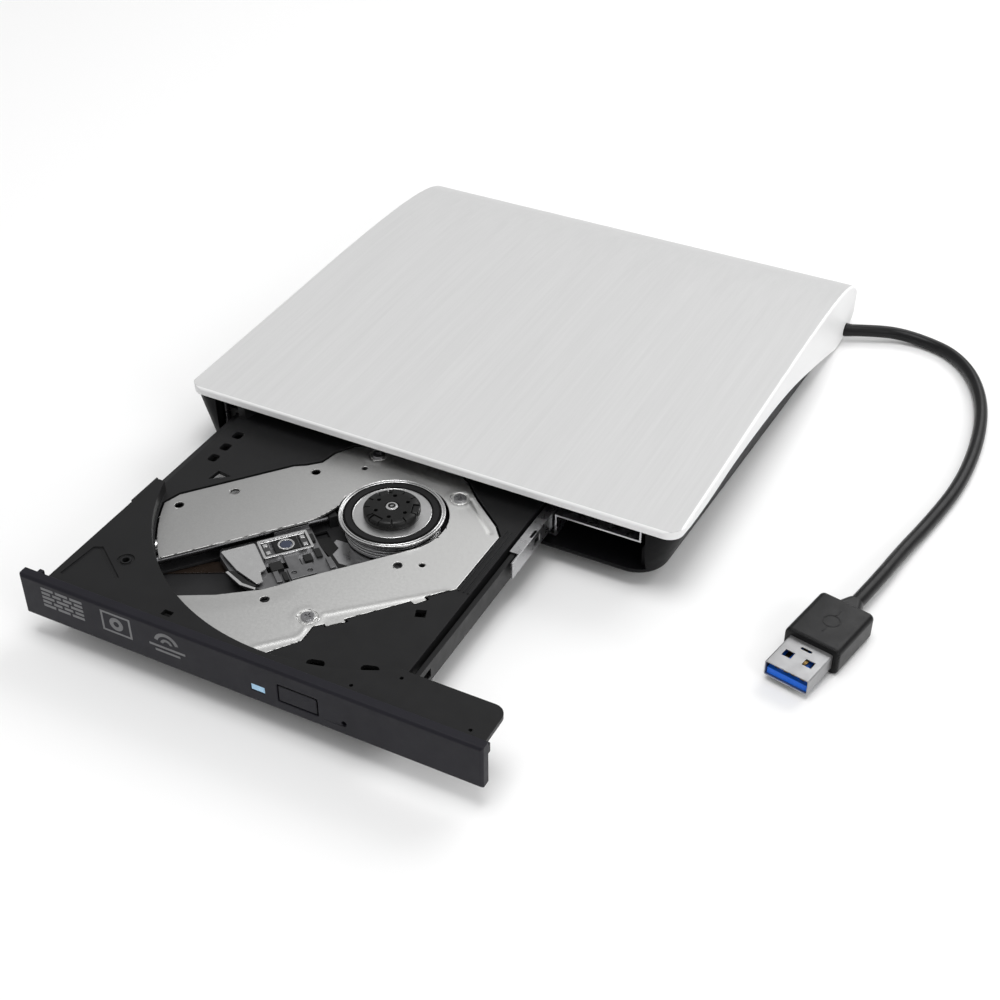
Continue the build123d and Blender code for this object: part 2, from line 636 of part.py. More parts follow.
with BuildPart() as led_window:
    with BuildSketch(Plane.XZ.offset(-behind(6.4))):
        with Locations(LED_AT):
            Rectangle(3.0, 1.2)
    extrude(amount=6.1)
    with BuildSketch(Plane.XZ.offset(-behind(2.7))):
        with Locations(LED_AT):
            Rectangle(3.7, 1.8)
    extrude(amount=2.5)
finish(led_window, "led_window")

BUTTON_TRAVEL = 0.6
SWITCH_TIP = 6.9            # the switch's plunger, behind the bezel's face
with BuildPart() as eject_button:
    with BuildSketch(Plane.XZ.offset(-behind(2.1))):
        with Locations(BUTTON_AT):
            RectangleRounded(10.6, 5.0, 0.4)
    extrude(amount=2.05)
    chamfer(eject_button.faces().sort_by(Axis.Y)[0].edges(), 0.25)
    with BuildSketch(Plane.XZ.offset(-behind(2.1))):
        with Locations(BUTTON_AT):
            Rectangle(3.0, 2.0)
    extrude(amount=-SWITCH_TIP + 2.1 + BUTTON_TRAVEL)
finish(eject_button, "eject_button")

FRONT_BOARD_Z = DRIVE_Z + 2.6
with BuildPart() as front_board:
    with BuildSketch(Plane.XY.offset(FRONT_BOARD_Z)):
        with Locations((15.5, behind(8.7))):
            Rectangle(34, 7.6)
    extrude(amount=0.8)
    with BuildSketch(Plane.XY.offset(FRONT_BOARD_Z + 0.8)):
        with Locations((LED_AT[0], behind(7.6))):
            Rectangle(3.0, 1.6)
        with Locations((26, behind(9))):
            with GridLocations(2.6, 2.6, 3, 2):
                Rectangle(1.4, 0.9)
    extrude(amount=0.9)
finish(front_board, "front_board")

with BuildPart() as eject_switch:
    with BuildSketch(Plane.XY.offset(FRONT_BOARD_Z + 0.8)):
        with Locations((BUTTON_AT[0], behind(9.2))):
            Rectangle(6.0, 3.4)
    extrude(amount=3.2)
    with BuildSketch(Plane.XZ.offset(-behind(SWITCH_TIP))):
        with Locations(BUTTON_AT):
            Circle(0.9)
    extrude(amount=-0.6)
finish(eject_switch, "eject_switch")

with BuildPart() as latch_solenoid:
    with BuildSketch(Plane.XY.offset(TRAY_LOW + UNDER_T)):
        with Locations((19.5, behind(26.5))):
            Rectangle(11, 7.5)
    extrude(amount=4.6)
    with BuildSketch(Plane.YZ.offset(25.0)):
        with Locations((behind(26.5), TRAY_LOW + UNDER_T + 2.3)):
            Circle(1.1)
    extrude(amount=2.2)
finish(latch_solenoid, "latch_solenoid")

LATCH_Z = DRIVE_Z + 3.4
with BuildPart() as latch_lever:
    with BuildSketch(Plane.XY.offset(LATCH_Z)):
        with BuildLine():
            Polyline((28.2, behind(27.5)), (29.6, behind(20.4)), (34.4, behind(13.4)),
                     (37.6, behind(12.6)), (38.2, behind(14.2)), (36.6, behind(16.6)),
                     (32.8, behind(22.6)), (30.2, behind(28.0)), (28.2, behind(27.5)))
        make_face()
        with Locations((LATCH_AT[0], behind(LATCH_AT[1]))):
            Circle(2.4)
            Circle(1.06, mode=Mode.SUBTRACT)
    extrude(amount=1.4)
finish(latch_lever, "latch_lever")

# ---------------------------------------------------------------- traverse unit
# Local x is the distance from the spindle axis along the pickup's travel, local y runs
# towards the right side of the tray.
DECK_T = 0.7
MAIN_ROD = -9.2
SUB_ROD = 17.5
SCREW_LINE = -14.6
ROD_R = 1.0
ROD_Z = DRIVE_Z + 5.2
FRAME_Z = DRIVE_Z + 2.4
FRAME_T = 0.7
DECK_HOLES = [(50.0, -25.5, 1.2), (35.0, -25.5, 1.2), (12.7, -25.5, 1.2), (5.3, 19.2, 1.2),
              (39.5, 18.8, 1.2), (0.1, -22.1, 0.8), (-0.3, 21.5, 0.8)]

with BuildPart() as deck_plate:
    with BuildSketch(Plane.XY.offset(DECK_Z - DECK_T)):
        add(deck_outline())
    extrude(amount=DECK_T)
    with BuildSketch(traverse(DECK_Z - 2)):
        Circle(14.8)
        with BuildLine():
            Polyline((0, 14.8), (39.0, 14.8), (50.0, 12.4), (60.0, 8.6), (66.0, 6.0), (66.0, -6.2),
                     (22.0, -6.2))
            Spline((22.0, -6.2), (14.0, -8.2), (8.0, -12.4), tangents=((-1, 0), (-0.6, -0.8)))
            Polyline((8.0, -12.4), (0, 0), (0, 14.8))
        make_face()
        for along, across, r in DECK_HOLES:
            with Locations((along, across)):
                Circle(r)
    extrude(amount=5, mode=Mode.SUBTRACT)
    with BuildSketch(Plane.XY.offset(DECK_Z - 2)):
        with Locations(*[(x, behind(d)) for x, d in DECK_SCREWS]):
            Circle(0.8)
    extrude(amount=5, mode=Mode.SUBTRACT)
    with BuildSketch(Plane.XY.offset(DECK_Z - 0.25)):
        with Locations(*[(x, behind(d)) for x, d in DECK_SCREWS]):
            Circle(2.6)
            Circle(2.2, mode=Mode.SUBTRACT)
    extrude(amount=1, mode=Mode.SUBTRACT)
finish(deck_plate, "deck_plate")

with BuildPart() as deck_screws:
    for x, d in DECK_SCREWS:
        add(screw(x, behind(d), DECK_Z + 0.55, 1.7, 0.55, 0.75, 5.5, up=False))
finish(deck_screws, "deck_screws")

with BuildPart() as rubber_dampers:
    with BuildSketch(Plane.XY.offset(POST_Z)):
        with Locations(*[(x, behind(d)) for x, d in DECK_SCREWS]):
            Circle(3.0)
            Circle(0.9, mode=Mode.SUBTRACT)
    extrude(amount=DECK_Z - DECK_T - POST_Z)
    with BuildSketch(Plane.XY.offset(POST_Z + 1.0)):
        with Locations(*[(x, behind(d)) for x, d in DECK_SCREWS]):
            Circle(3.5)
            Circle(2.4, mode=Mode.SUBTRACT)
    extrude(amount=0.9, mode=Mode.SUBTRACT)
finish(rubber_dampers, "rubber_dampers")

MAIN_ENDS = (12.6, 63.0)
SUB_ENDS = (14.0, 62.8)
with BuildPart() as traverse_frame:
    with BuildSketch(traverse(FRAME_Z)):
        with Locations((24.5, MAIN_ROD)):
            Rectangle(77, 5.0)
        with Locations((28.0, SUB_ROD)):
            Rectangle(70, 5.0)
        with Locations((1.0, 3.0)):
            Rectangle(30, 29)
        Circle(1.6, mode=Mode.SUBTRACT)
    extrude(amount=FRAME_T)
    for ends, across in ((MAIN_ENDS, MAIN_ROD), (SUB_ENDS, SUB_ROD)):
        for end, way in ((ends[0] + 1.1, 1), (ends[1] - 1.1, -1)):
            with BuildSketch(traverse(FRAME_Z + FRAME_T)):
                with Locations((end, across)):
                    Rectangle(2.2, 4.0)
            extrude(amount=ROD_Z + 1.5 - FRAME_Z - FRAME_T)
    with BuildSketch(traverse(FRAME_Z)):
        with Locations((57.8, -14.1)):
            Rectangle(1.0, 5.6)
        with Locations((14.4, -13.9)):
            Rectangle(1.2, 6.0)
    extrude(amount=ROD_Z + 1.5 - FRAME_Z)
    with BuildSketch(traverse(FRAME_Z + FRAME_T)):
        with Locations((-12.0, -9.2), (-4.0, 17.5), (-12.0, 14.5)):
            Circle(1.6)
    extrude(amount=DECK_Z - DECK_T - FRAME_Z - FRAME_T)
    for across, r in ((MAIN_ROD, ROD_R), (SUB_ROD, ROD_R), (SCREW_LINE, 0.85)):
        bore = traverse(ROD_Z)
        start = bore.origin + bore.x_dir * 8 + bore.y_dir * across
        with BuildSketch(Plane(origin=start, z_dir=bore.x_dir)):
            Circle(r)
        extrude(amount=60, mode=Mode.SUBTRACT)
finish(traverse_frame, "traverse_frame")


def along_travel(first, last, across, radius, height=ROD_Z):
    """Round bar parallel to the pickup's travel, from first to last."""
    frame = traverse(height)
    start = frame.origin + frame.x_dir * first + frame.y_dir * across
    with BuildPart() as bar:
        with BuildSketch(Plane(origin=start, z_dir=frame.x_dir)):
            Circle(radius)
        extrude(amount=last - first)
    return bar.part


with BuildPart() as main_guide_rod:
    add(along_travel(MAIN_ENDS[0], MAIN_ENDS[1], MAIN_ROD, ROD_R))
    chamfer(main_guide_rod.edges().filter_by(GeomType.CIRCLE), 0.2)
finish(main_guide_rod, "main_guide_rod")

with BuildPart() as sub_guide_rod:
    add(along_travel(SUB_ENDS[0], SUB_ENDS[1], SUB_ROD, ROD_R))
    chamfer(sub_guide_rod.edges().filter_by(GeomType.CIRCLE), 0.2)
finish(sub_guide_rod, "sub_guide_rod")

with BuildPart() as sled_motor:
    add(along_travel(58.3, 65.5, SCREW_LINE, 2.05))
    chamfer(sled_motor.edges().filter_by(GeomType.CIRCLE), 0.3)
finish(sled_motor, "sled_motor")

SCREW_R = 1.2
with BuildPart() as lead_screw:
    add(along_travel(13.9, 58.25, SCREW_LINE, 0.8))
    add(along_travel(15.3, 57.0, SCREW_LINE, SCREW_R))
    for turn in range(26):
        groove = 17.0 + 1.5 * turn
        with BuildSketch(Plane(origin=traverse(ROD_Z).origin
                               + traverse(ROD_Z).x_dir * groove
                               + traverse(ROD_Z).y_dir * SCREW_LINE,
                               z_dir=traverse(ROD_Z).x_dir)):
            Circle(SCREW_R + 1)
            Circle(SCREW_R - 0.25, mode=Mode.SUBTRACT)
        extrude(amount=0.6, mode=Mode.SUBTRACT)
finish(lead_screw, "lead_screw")

with BuildPart() as pickup_flex:
    with BuildSketch(traverse(TRAY_LOW + UNDER_T + 0.1)):
        with BuildLine():
            Polyline((60, -12.0), (60, -7.5), (38, 1.0), (38, -3.5), (60, -12.0))
        make_face()
    extrude(amount=0.3)
finish(pickup_flex, "pickup_flex")

# ---------------------------------------------------------------- spindle motor
SHAFT_R = 1.0
with BuildPart() as spindle_stator:
    with BuildSketch(traverse(FRAME_Z + FRAME_T)):
        Circle(3.6)
        Circle(SHAFT_R + 0.05, mode=Mode.SUBTRACT)
    extrude(amount=4.2)
    with BuildSketch(traverse(FRAME_Z + FRAME_T + 0.7)):
        Circle(5.0)
        with PolarLocations(7.0, 9):
            Rectangle(7.0, 1.5)
        with PolarLocations(9.6, 9):
            Rectangle(1.2, 4.4)
        Circle(SHAFT_R + 0.05, mode=Mode.SUBTRACT)
    extrude(amount=2.4)
finish(spindle_stator, "spindle_stator")

ROTOR_R = 12.5
ROTOR_LOW = DRIVE_Z + 3.7
with BuildPart() as spindle_rotor:
    with BuildSketch(traverse(ROTOR_LOW)):
        Circle(ROTOR_R)
    extrude(amount=DECK_Z + 0.2 - ROTOR_LOW)
    with BuildSketch(traverse(ROTOR_LOW)):
        Circle(ROTOR_R - 0.7)
    extrude(amount=DECK_Z - 0.6 - ROTOR_LOW, mode=Mode.SUBTRACT)
    for ring in range(3):
        with BuildSketch(traverse(ROTOR_LOW + 0.9 + 1.1 * ring)):
            Circle(ROTOR_R + 1)
            Circle(ROTOR_R - 0.25, mode=Mode.SUBTRACT)
        extrude(amount=0.4, mode=Mode.SUBTRACT)
    with BuildSketch(traverse(ROTOR_LOW)):
        Circle(SHAFT_R)
    extrude(amount=10, mode=Mode.SUBTRACT)
finish(spindle_rotor, "spindle_rotor")

with BuildPart() as rotor_magnet:
    with BuildSketch(traverse(ROTOR_LOW + 0.3)):
        Circle(ROTOR_R - 0.7)
        Circle(ROTOR_R - 1.6, mode=Mode.SUBTRACT)
    extrude(amount=3.2)
finish(rotor_magnet, "rotor_magnet")

with BuildPart() as spindle_shaft:
    with BuildSketch(traverse(FRAME_Z + FRAME_T)):
        Circle(SHAFT_R)
    extrude(amount=SEAT_Z + 1.7 - FRAME_Z - FRAME_T)
    with BuildSketch(traverse(SEAT_Z + 1.7)):
        Circle(1.6)
        Circle(0.6, mode=Mode.SUBTRACT)
    extrude(amount=0.55)
    chamfer(spindle_shaft.faces().sort_by(Axis.Z)[-1].edges().sort_by(SortBy.RADIUS)[-1], 0.2)
finish(spindle_shaft, "spindle_shaft")

TABLE_Z = SEAT_Z - 0.2
with BuildPart() as turntable:
    with BuildSketch(traverse(DECK_Z + 0.2)):
        Circle(9.0)
    extrude(amount=0.3)
    with BuildSketch(traverse(DECK_Z + 0.4)):
        Circle(13.9)
    extrude(amount=TABLE_Z - DECK_Z - 0.4)
    with BuildSketch(traverse(TABLE_Z)):
        Circle(13.9)
        Circle(13.45, mode=Mode.SUBTRACT)
        Circle(12.75)
        Circle(12.25, mode=Mode.SUBTRACT)
    extrude(amount=0.12)
    with BuildSketch(traverse(TABLE_Z - 0.3)):
        Circle(13.45)
        Circle(12.75, mode=Mode.SUBTRACT)
    extrude(amount=1, mode=Mode.SUBTRACT)
    with BuildSketch(traverse(DECK_Z)):
        Circle(SHAFT_R)
    extrude(amount=5, mode=Mode.SUBTRACT)
finish(turntable, "turntable")

with BuildPart() as turntable_ring:
    with BuildSketch(traverse(TABLE_Z)):
        Circle(12.2)
        Circle(10.7, mode=Mode.SUBTRACT)
    extrude(amount=0.2)
finish(turntable_ring, "turntable_ring")

CHUCK_TOP = SEAT_Z + 2.1
with BuildPart() as disc_chuck:
    with BuildSketch(traverse(TABLE_Z)):
        Circle(CHUCK_R)
        Circle(SHAFT_R, mode=Mode.SUBTRACT)
    extrude(amount=CHUCK_TOP - TABLE_Z)
    chamfer(disc_chuck.faces().sort_by(Axis.Z)[-1].edges().sort_by(SortBy.RADIUS)[-1], 0.5)
    with BuildSketch(traverse(CHUCK_TOP - 0.6)):
        Circle(1.9)
    extrude(amount=2, mode=Mode.SUBTRACT)
    with BuildSketch(traverse(TABLE_Z + 1.0)):
        with PolarLocations(6.6, 3, 30):
            Rectangle(2.6, 3.2)
        with PolarLocations(4.4, 6, 0):
            Circle(0.55)
    extrude(amount=5, mode=Mode.SUBTRACT)
    with BuildSketch(traverse(CHUCK_TOP - 0.5)):
        with PolarLocations(6.5, 12, 10):
            Rectangle(1.9, 0.35)
    extrude(amount=2, mode=Mode.SUBTRACT)
finish(disc_chuck, "disc_chuck")

with BuildPart() as chuck_claws:
    with BuildSketch(traverse(TABLE_Z + 1.0)):
        with PolarLocations(6.3, 3, 30):
            Rectangle(1.8, 2.6)
    extrude(amount=1.1)
    fillet(chuck_claws.faces().group_by(Axis.Z)[-1].edges(), 0.3)
finish(chuck_claws, "chuck_claws")

# ---------------------------------------------------------------- pickup sled
LENS_AT = (28.4, -0.8)
SLED_Z = DRIVE_Z + 3.5
SLED_TOP = DRIVE_Z + 5.6
PICKUP_TOP = DRIVE_Z + 7.1
with BuildPart() as sled_base:
    with BuildSketch(traverse(SLED_Z)):
        with BuildLine():
            Polyline((20.2, -6.9), (20.2, 1.5), (18.8, 8.5), (18.6, 13.0), (27.0, 13.4),
                     (38.0, 12.6), (41.0, 10.4), (44.0, 4.2), (45.0, -4.2), (44.2, -6.9),
                     (20.2, -6.9))
        make_face()
        with Locations((31.0, 5.6)):
            Rectangle(9.0, 2.4, mode=Mode.SUBTRACT)
    extrude(amount=SLED_TOP - SLED_Z)
    with BuildSketch(traverse(SLED_TOP)):
        with BuildLine():
            Polyline((37.4, -3.4), (43.2, -3.4), (41.4, 3.6), (38.9, 9.4), (37.4, 9.0), (37.4, -3.4))
        make_face()
        with Locations((19.9, 9.6), (33.8, 9.8)):
            Rectangle(1.4, 4.4)
    extrude(amount=0.8)
    with BuildSketch(traverse(SLED_Z)):
        with Locations((25.3, -8.6)):
            Rectangle(9.4, 4.4)
    extrude(amount=3.4)
    with BuildSketch(traverse(SLED_Z)):
        with Locations((29.0, 16.0)):
            Rectangle(4.0, 6.2)
    extrude(amount=3.2)
    with BuildSketch(Plane(origin=traverse(ROD_Z).origin
                           + traverse(ROD_Z).x_dir * 15
                           + traverse(ROD_Z).y_dir * MAIN_ROD,
                           z_dir=traverse(ROD_Z).x_dir)):
        Circle(ROD_R + 0.06)
    extrude(amount=20, mode=Mode.SUBTRACT)
    with BuildSketch(traverse(ROD_Z - ROD_R - 0.06)):
        with Locations((29.0, SUB_ROD + 1.5)):
            Rectangle(6.0, 5.2)
    extrude(amount=2 * ROD_R + 0.12, mode=Mode.SUBTRACT)
finish(sled_base, "sled_base")

with BuildPart() as sled_shield:
    with BuildSketch(traverse(SLED_TOP + 0.8)) as sheet_outline:
        with BuildLine():
            Polyline((35.7, -4.4), (44.6, -4.4), (42.6, 4.1), (39.4, 11.2), (37.8, 10.6),
                     (37.4, 7.0), (35.7, 6.4), (35.7, -4.4))
        make_face()
        fillet(sheet_outline.vertices(), 0.5)
    extrude(amount=0.4)
finish(sled_shield, "sled_shield")

with BuildPart() as actuator_yoke:
    with BuildSketch(traverse(SLED_TOP)):
        with Locations((28.6, -0.8)):
            RectangleRounded(13.2, 7.4, 0.5)
            Rectangle(11.8, 6.0, mode=Mode.SUBTRACT)
    extrude(amount=PICKUP_TOP - SLED_TOP)
finish(actuator_yoke, "actuator_yoke")

with BuildPart() as actuator_magnets:
    with BuildSketch(traverse(SLED_TOP)):
        with Locations((23.7, -0.8), (33.5, -0.8)):
            Rectangle(1.6, 5.2)
    extrude(amount=1.2)
finish(actuator_magnets, "actuator_magnets")

with BuildPart() as laser_holder:
    with BuildSketch(traverse(SLED_TOP)):
        with Locations((27.6, 10.3)):
            Rectangle(6.6, 4.4)
        with Locations((28.6, 5.6)):
            Rectangle(3.4, 5.2)
    extrude(amount=1.0)
    with BuildSketch(traverse(SLED_TOP + 0.4)):
        with Locations((25.6, 10.8), (29.6, 10.2)):
            Circle(0.7)
    extrude(amount=2, mode=Mode.SUBTRACT)
finish(laser_holder, "laser_holder")

with BuildPart() as screw_follower:
    with BuildSketch(traverse(SLED_Z)):
        with Locations((24.8, -13.6)):
            Rectangle(4.4, 5.6)
    extrude(amount=3.1)
    with BuildSketch(Plane(origin=traverse(ROD_Z).origin
                           + traverse(ROD_Z).x_dir * 15
                           + traverse(ROD_Z).y_dir * SCREW_LINE,
                           z_dir=traverse(ROD_Z).x_dir)):
        Circle(SCREW_R + 0.15)
    extrude(amount=20, mode=Mode.SUBTRACT)
finish(screw_follower, "screw_follower")

with BuildPart() as lens_holder:
    with BuildSketch(traverse(SLED_TOP + 0.6)):
        with Locations(LENS_AT):
            Rectangle(6.4, 4.8)
            Circle(1.7, mode=Mode.SUBTRACT)
    extrude(amount=0.7)
finish(lens_holder, "lens_holder")

with BuildPart() as objective_lens:
    with BuildSketch(traverse(SLED_TOP + 0.6)):
        with Locations(LENS_AT):
            Circle(1.65)
    extrude(amount=0.85)
    fillet(objective_lens.faces().sort_by(Axis.Z)[-1].edges(), 0.45)
finish(objective_lens, "objective_lens")

# ================================================================ cable and plug
def turned(x, y, z, heading):
    """Upright plane at a point, facing along a heading in degrees from +X."""
    way = (cos(radians(heading)), sin(radians(heading)), 0)
    return Plane(origin=(x, y, z), x_dir=(-way[1], way[0], 0), z_dir=way)


GLAND_L = 2.0
CABLE_LOW = CABLE_D / 2 + 0.1
CABLE_START = (GLAND_AT[0] + GLAND_L, GLAND_AT[1] + 0.5, GLAND_AT[2])
CABLE_NEXT = (82.3, depth(144.25), GLAND_AT[2])
GLAND_YAW = degrees(atan2(CABLE_NEXT[1] - CABLE_START[1], CABLE_NEXT[0] - CABLE_START[0]))
exit_plane = turned(GLAND_AT[0] - 4.5, GLAND_AT[1], GLAND_AT[2], 0)
with BuildPart() as cable_gland:
    with BuildSketch(exit_plane):
        Circle(GLAND_R)
    extrude(amount=5.0)
    with BuildSketch(turned(GLAND_AT[0] + 0.5, GLAND_AT[1], GLAND_AT[2], 0)):
        Circle(GLAND_R)
    with BuildSketch(turned(*CABLE_START, GLAND_YAW)):
        Circle(CABLE_D / 2 + 0.05)
    loft()
finish(cable_gland, "cable_gland")

PLUG_HEADING = -101.5
PLUG_Z = 4.0
TIP = (109.9, depth(-16.7))
SHELL_L = 11.6
BODY_L = 18.0
NECK_L = 4.2


def on_plug(back):
    """Plane across the plug, back from the open end of its shell, facing the open end."""
    rear = radians(PLUG_HEADING + 180)
    return turned(TIP[0] + back * cos(rear), TIP[1] + back * sin(rear), PLUG_Z, PLUG_HEADING)


CABLE_ROUTE = [
    CABLE_START,
    CABLE_NEXT,
    (89.6, depth(147.75), 2.9),
    (99.0, depth(148.05), CABLE_LOW),
    (108.3, depth(144.65), CABLE_LOW),
    (116.8, depth(135.35), CABLE_LOW),
    (123.3, depth(120.25), CABLE_LOW),
    (126.6, depth(100.75), CABLE_LOW),
    (127.0, depth(79.25), CABLE_LOW),
    (123.9, depth(59.25), CABLE_LOW),
    (121.0, depth(43.75), 2.7),
    tuple(on_plug(SHELL_L + BODY_L + NECK_L + 12.4).origin),
    tuple(on_plug(SHELL_L + BODY_L + NECK_L).origin),
]


def corner_radii(route):
    """Radius of each corner: 0.45 of the shorter run over the tangent of half the turn."""
    radii = []
    for before, corner, after in zip(route, route[1:], route[2:]):
        first = Vector(*corner) - Vector(*before)
        second = Vector(*after) - Vector(*corner)
        half_turn = radians(first.get_angle(second)) / 2
        radii.append(0.45 * min(first.length, second.length) / tan(half_turn))
    return radii


cable_radii = corner_radii(CABLE_ROUTE)
with BuildPart() as usb_cable:
    with BuildLine() as route_line:
        FilletPolyline(*CABLE_ROUTE, radius=cable_radii)
    way = (Vector(*CABLE_ROUTE[1]) - Vector(*CABLE_ROUTE[0])).normalized()
    with BuildSketch(Plane(origin=CABLE_ROUTE[0], z_dir=way)):
        Circle(CABLE_D / 2)
    sweep(path=route_line.wire())
finish(usb_cable, "usb_cable")
cable_length = route_line.wire().length
print("cable radii", [round(r, 1) for r in cable_radii])
print("cable length", round(cable_length, 1), "volume over section times length",
      round(usb_cable.part.volume / (cable_length * pi * CABLE_D ** 2 / 4), 4))

with BuildPart() as plug_strain_relief:
    with BuildSketch(on_plug(SHELL_L + BODY_L)):
        RectangleRounded(7.0, 5.2, 1.2)
    with BuildSketch(on_plug(SHELL_L + BODY_L + NECK_L)):
        RectangleRounded(4.6, 4.6, 1.9)
    loft()
finish(plug_strain_relief, "plug_strain_relief")

with BuildPart() as usb_plug_body:
    with BuildSketch(on_plug(SHELL_L + BODY_L)):
        RectangleRounded(15.2, 7.8, 1.6)
    extrude(amount=BODY_L)
    chamfer(usb_plug_body.faces().sort_by(Axis.Y)[0].edges(), 0.4)
    chamfer(usb_plug_body.faces().sort_by(Axis.Y)[-1].edges(), 0.8)
finish(usb_plug_body, "usb_plug_body")

SHELL_W = 12.0
SHELL_H = 4.5
with BuildPart() as usb_plug_shell:
    with BuildSketch(on_plug(SHELL_L)):
        RectangleRounded(SHELL_W, SHELL_H, 0.5)
        RectangleRounded(SHELL_W - 0.6, SHELL_H - 0.6, 0.3, mode=Mode.SUBTRACT)
    extrude(amount=SHELL_L)
    seat = on_plug(SHELL_L)
    top = Plane(origin=seat.origin, x_dir=seat.x_dir, z_dir=(0, 0, 1))
    with BuildSketch(top.offset(-5)):
        with Locations((2.8, -6.2), (-2.8, -6.2)):
            Rectangle(2.5, 2.3)
        with Locations((0.0, -2.4)):
            SlotOverall(3.0, 0.8)
    extrude(amount=10, mode=Mode.SUBTRACT)
finish(usb_plug_shell, "usb_plug_shell")

with BuildPart() as usb_plug_insert:
    with BuildSketch(on_plug(SHELL_L)):
        with Locations((0, -0.95)):
            Rectangle(SHELL_W - 1.0, 1.9)
    extrude(amount=SHELL_L - 0.6)
finish(usb_plug_insert, "usb_plug_insert")

with BuildPart() as usb_plug_contacts:
    with BuildSketch(on_plug(SHELL_L)):
        with Locations((-3.5, 0.08), (-1.0, 0.08), (1.0, 0.08), (3.5, 0.08)):
            Rectangle(1.2, 0.16)
    extrude(amount=SHELL_L - 1.6)
finish(usb_plug_contacts, "usb_plug_contacts")
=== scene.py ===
"""Looks of the external optical drive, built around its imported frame. Metres, the frame's own axes."""

import json
import math

import bmesh
import bpy
from mathutils import Matrix, Vector


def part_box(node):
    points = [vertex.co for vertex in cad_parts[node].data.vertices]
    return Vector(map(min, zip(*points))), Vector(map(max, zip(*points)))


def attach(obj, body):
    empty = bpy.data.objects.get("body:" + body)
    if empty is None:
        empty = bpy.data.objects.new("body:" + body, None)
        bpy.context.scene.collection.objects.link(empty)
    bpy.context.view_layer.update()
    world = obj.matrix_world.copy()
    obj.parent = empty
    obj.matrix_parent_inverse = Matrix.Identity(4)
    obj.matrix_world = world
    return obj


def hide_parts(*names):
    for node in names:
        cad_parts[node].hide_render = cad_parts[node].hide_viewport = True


MM = 0.001

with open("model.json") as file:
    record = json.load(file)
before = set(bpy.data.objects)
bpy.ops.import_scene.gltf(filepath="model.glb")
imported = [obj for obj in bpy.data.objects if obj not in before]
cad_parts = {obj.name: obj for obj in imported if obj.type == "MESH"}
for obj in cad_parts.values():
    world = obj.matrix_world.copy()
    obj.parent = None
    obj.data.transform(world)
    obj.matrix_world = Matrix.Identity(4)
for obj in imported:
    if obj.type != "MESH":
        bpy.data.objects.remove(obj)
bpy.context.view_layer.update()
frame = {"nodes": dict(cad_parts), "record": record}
cad_nodes = frame["nodes"]


# ---------------------------------------------------------------- camera
CAMERA_PLACE = (0.1768, -0.32955, 0.2768)
CAMERA_ANGLES = (27.36, 38.38, -0.16)       # azimuth, elevation and roll in degrees
CAMERA_SHIFT = (0.0021, 0.008)
FOCAL_LENGTH = 58.28
SENSOR_WIDTH = 36.0


def make_camera():
    """Camera in the photograph's place, with plain display colours."""
    azimuth, elevation, roll = (math.radians(angle) for angle in CAMERA_ANGLES)
    back = Vector((math.sin(azimuth) * math.cos(elevation),
                   -math.cos(azimuth) * math.cos(elevation),
                   math.sin(elevation)))
    lens = bpy.data.cameras.new("camera")
    lens.sensor_width = SENSOR_WIDTH
    lens.lens = FOCAL_LENGTH
    lens.shift_x, lens.shift_y = CAMERA_SHIFT
    lens.clip_start = 0.01
    camera = bpy.data.objects.new("camera", lens)
    bpy.context.scene.collection.objects.link(camera)
    turn = back.to_track_quat("Z", "Y").to_matrix().to_4x4() @ Matrix.Rotation(roll, 4, "Z")
    camera.matrix_world = Matrix.Translation(CAMERA_PLACE) @ turn
    bpy.context.scene.camera = camera
    bpy.context.scene.view_settings.view_transform = "Standard"


make_camera()

# ---------------------------------------------------------------- cable
CABLE_D = 3.8 * MM
CABLE_ROUTE = [
    (0.07625, 0.10770, 0.0037),
    (0.08230, 0.11050, 0.0037),
    (0.08960, 0.11400, 0.0029),
    (0.09900, 0.11430, 0.0020),
    (0.10830, 0.11090, 0.0020),
    (0.11680, 0.10160, 0.0020),
    (0.12330, 0.08650, 0.0020),
    (0.12660, 0.06700, 0.0020),
    (0.12700, 0.04550, 0.0020),
    (0.12390, 0.02550, 0.0020),
    (0.12100, 0.01000, 0.0027),
    (0.11911, -0.00518, 0.0040),
    (0.11664, -0.01733, 0.0040),
]


def make_cable():
    """Cable from the case's boot to the plug, lying on the floor for most of its way."""
    line = bpy.data.curves.new("cable", "CURVE")
    line.dimensions = "3D"
    spline = line.splines.new("NURBS")
    spline.points.add(len(CABLE_ROUTE) - 1)
    for point, place in zip(spline.points, CABLE_ROUTE):
        point.co = (*place, 1.0)
        point.radius = CABLE_D / 2
    spline.order_u = 3
    spline.use_endpoint_u = True
    spline.resolution_u = 24
    line.bevel_depth = 1.0      # the points' own radius is half the diameter
    line.bevel_resolution = 8
    cable = bpy.data.objects.new("cable", line)
    bpy.context.scene.collection.objects.link(cable)
    return cable


cable = make_cable()
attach(cable, "enclosure")
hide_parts("usb_cable")


# ---------------------------------------------------------------- materials
def body_middle(node):
    """Middle of a CAD node's box."""
    low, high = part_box(node)
    return (Vector(low) + Vector(high)) / 2


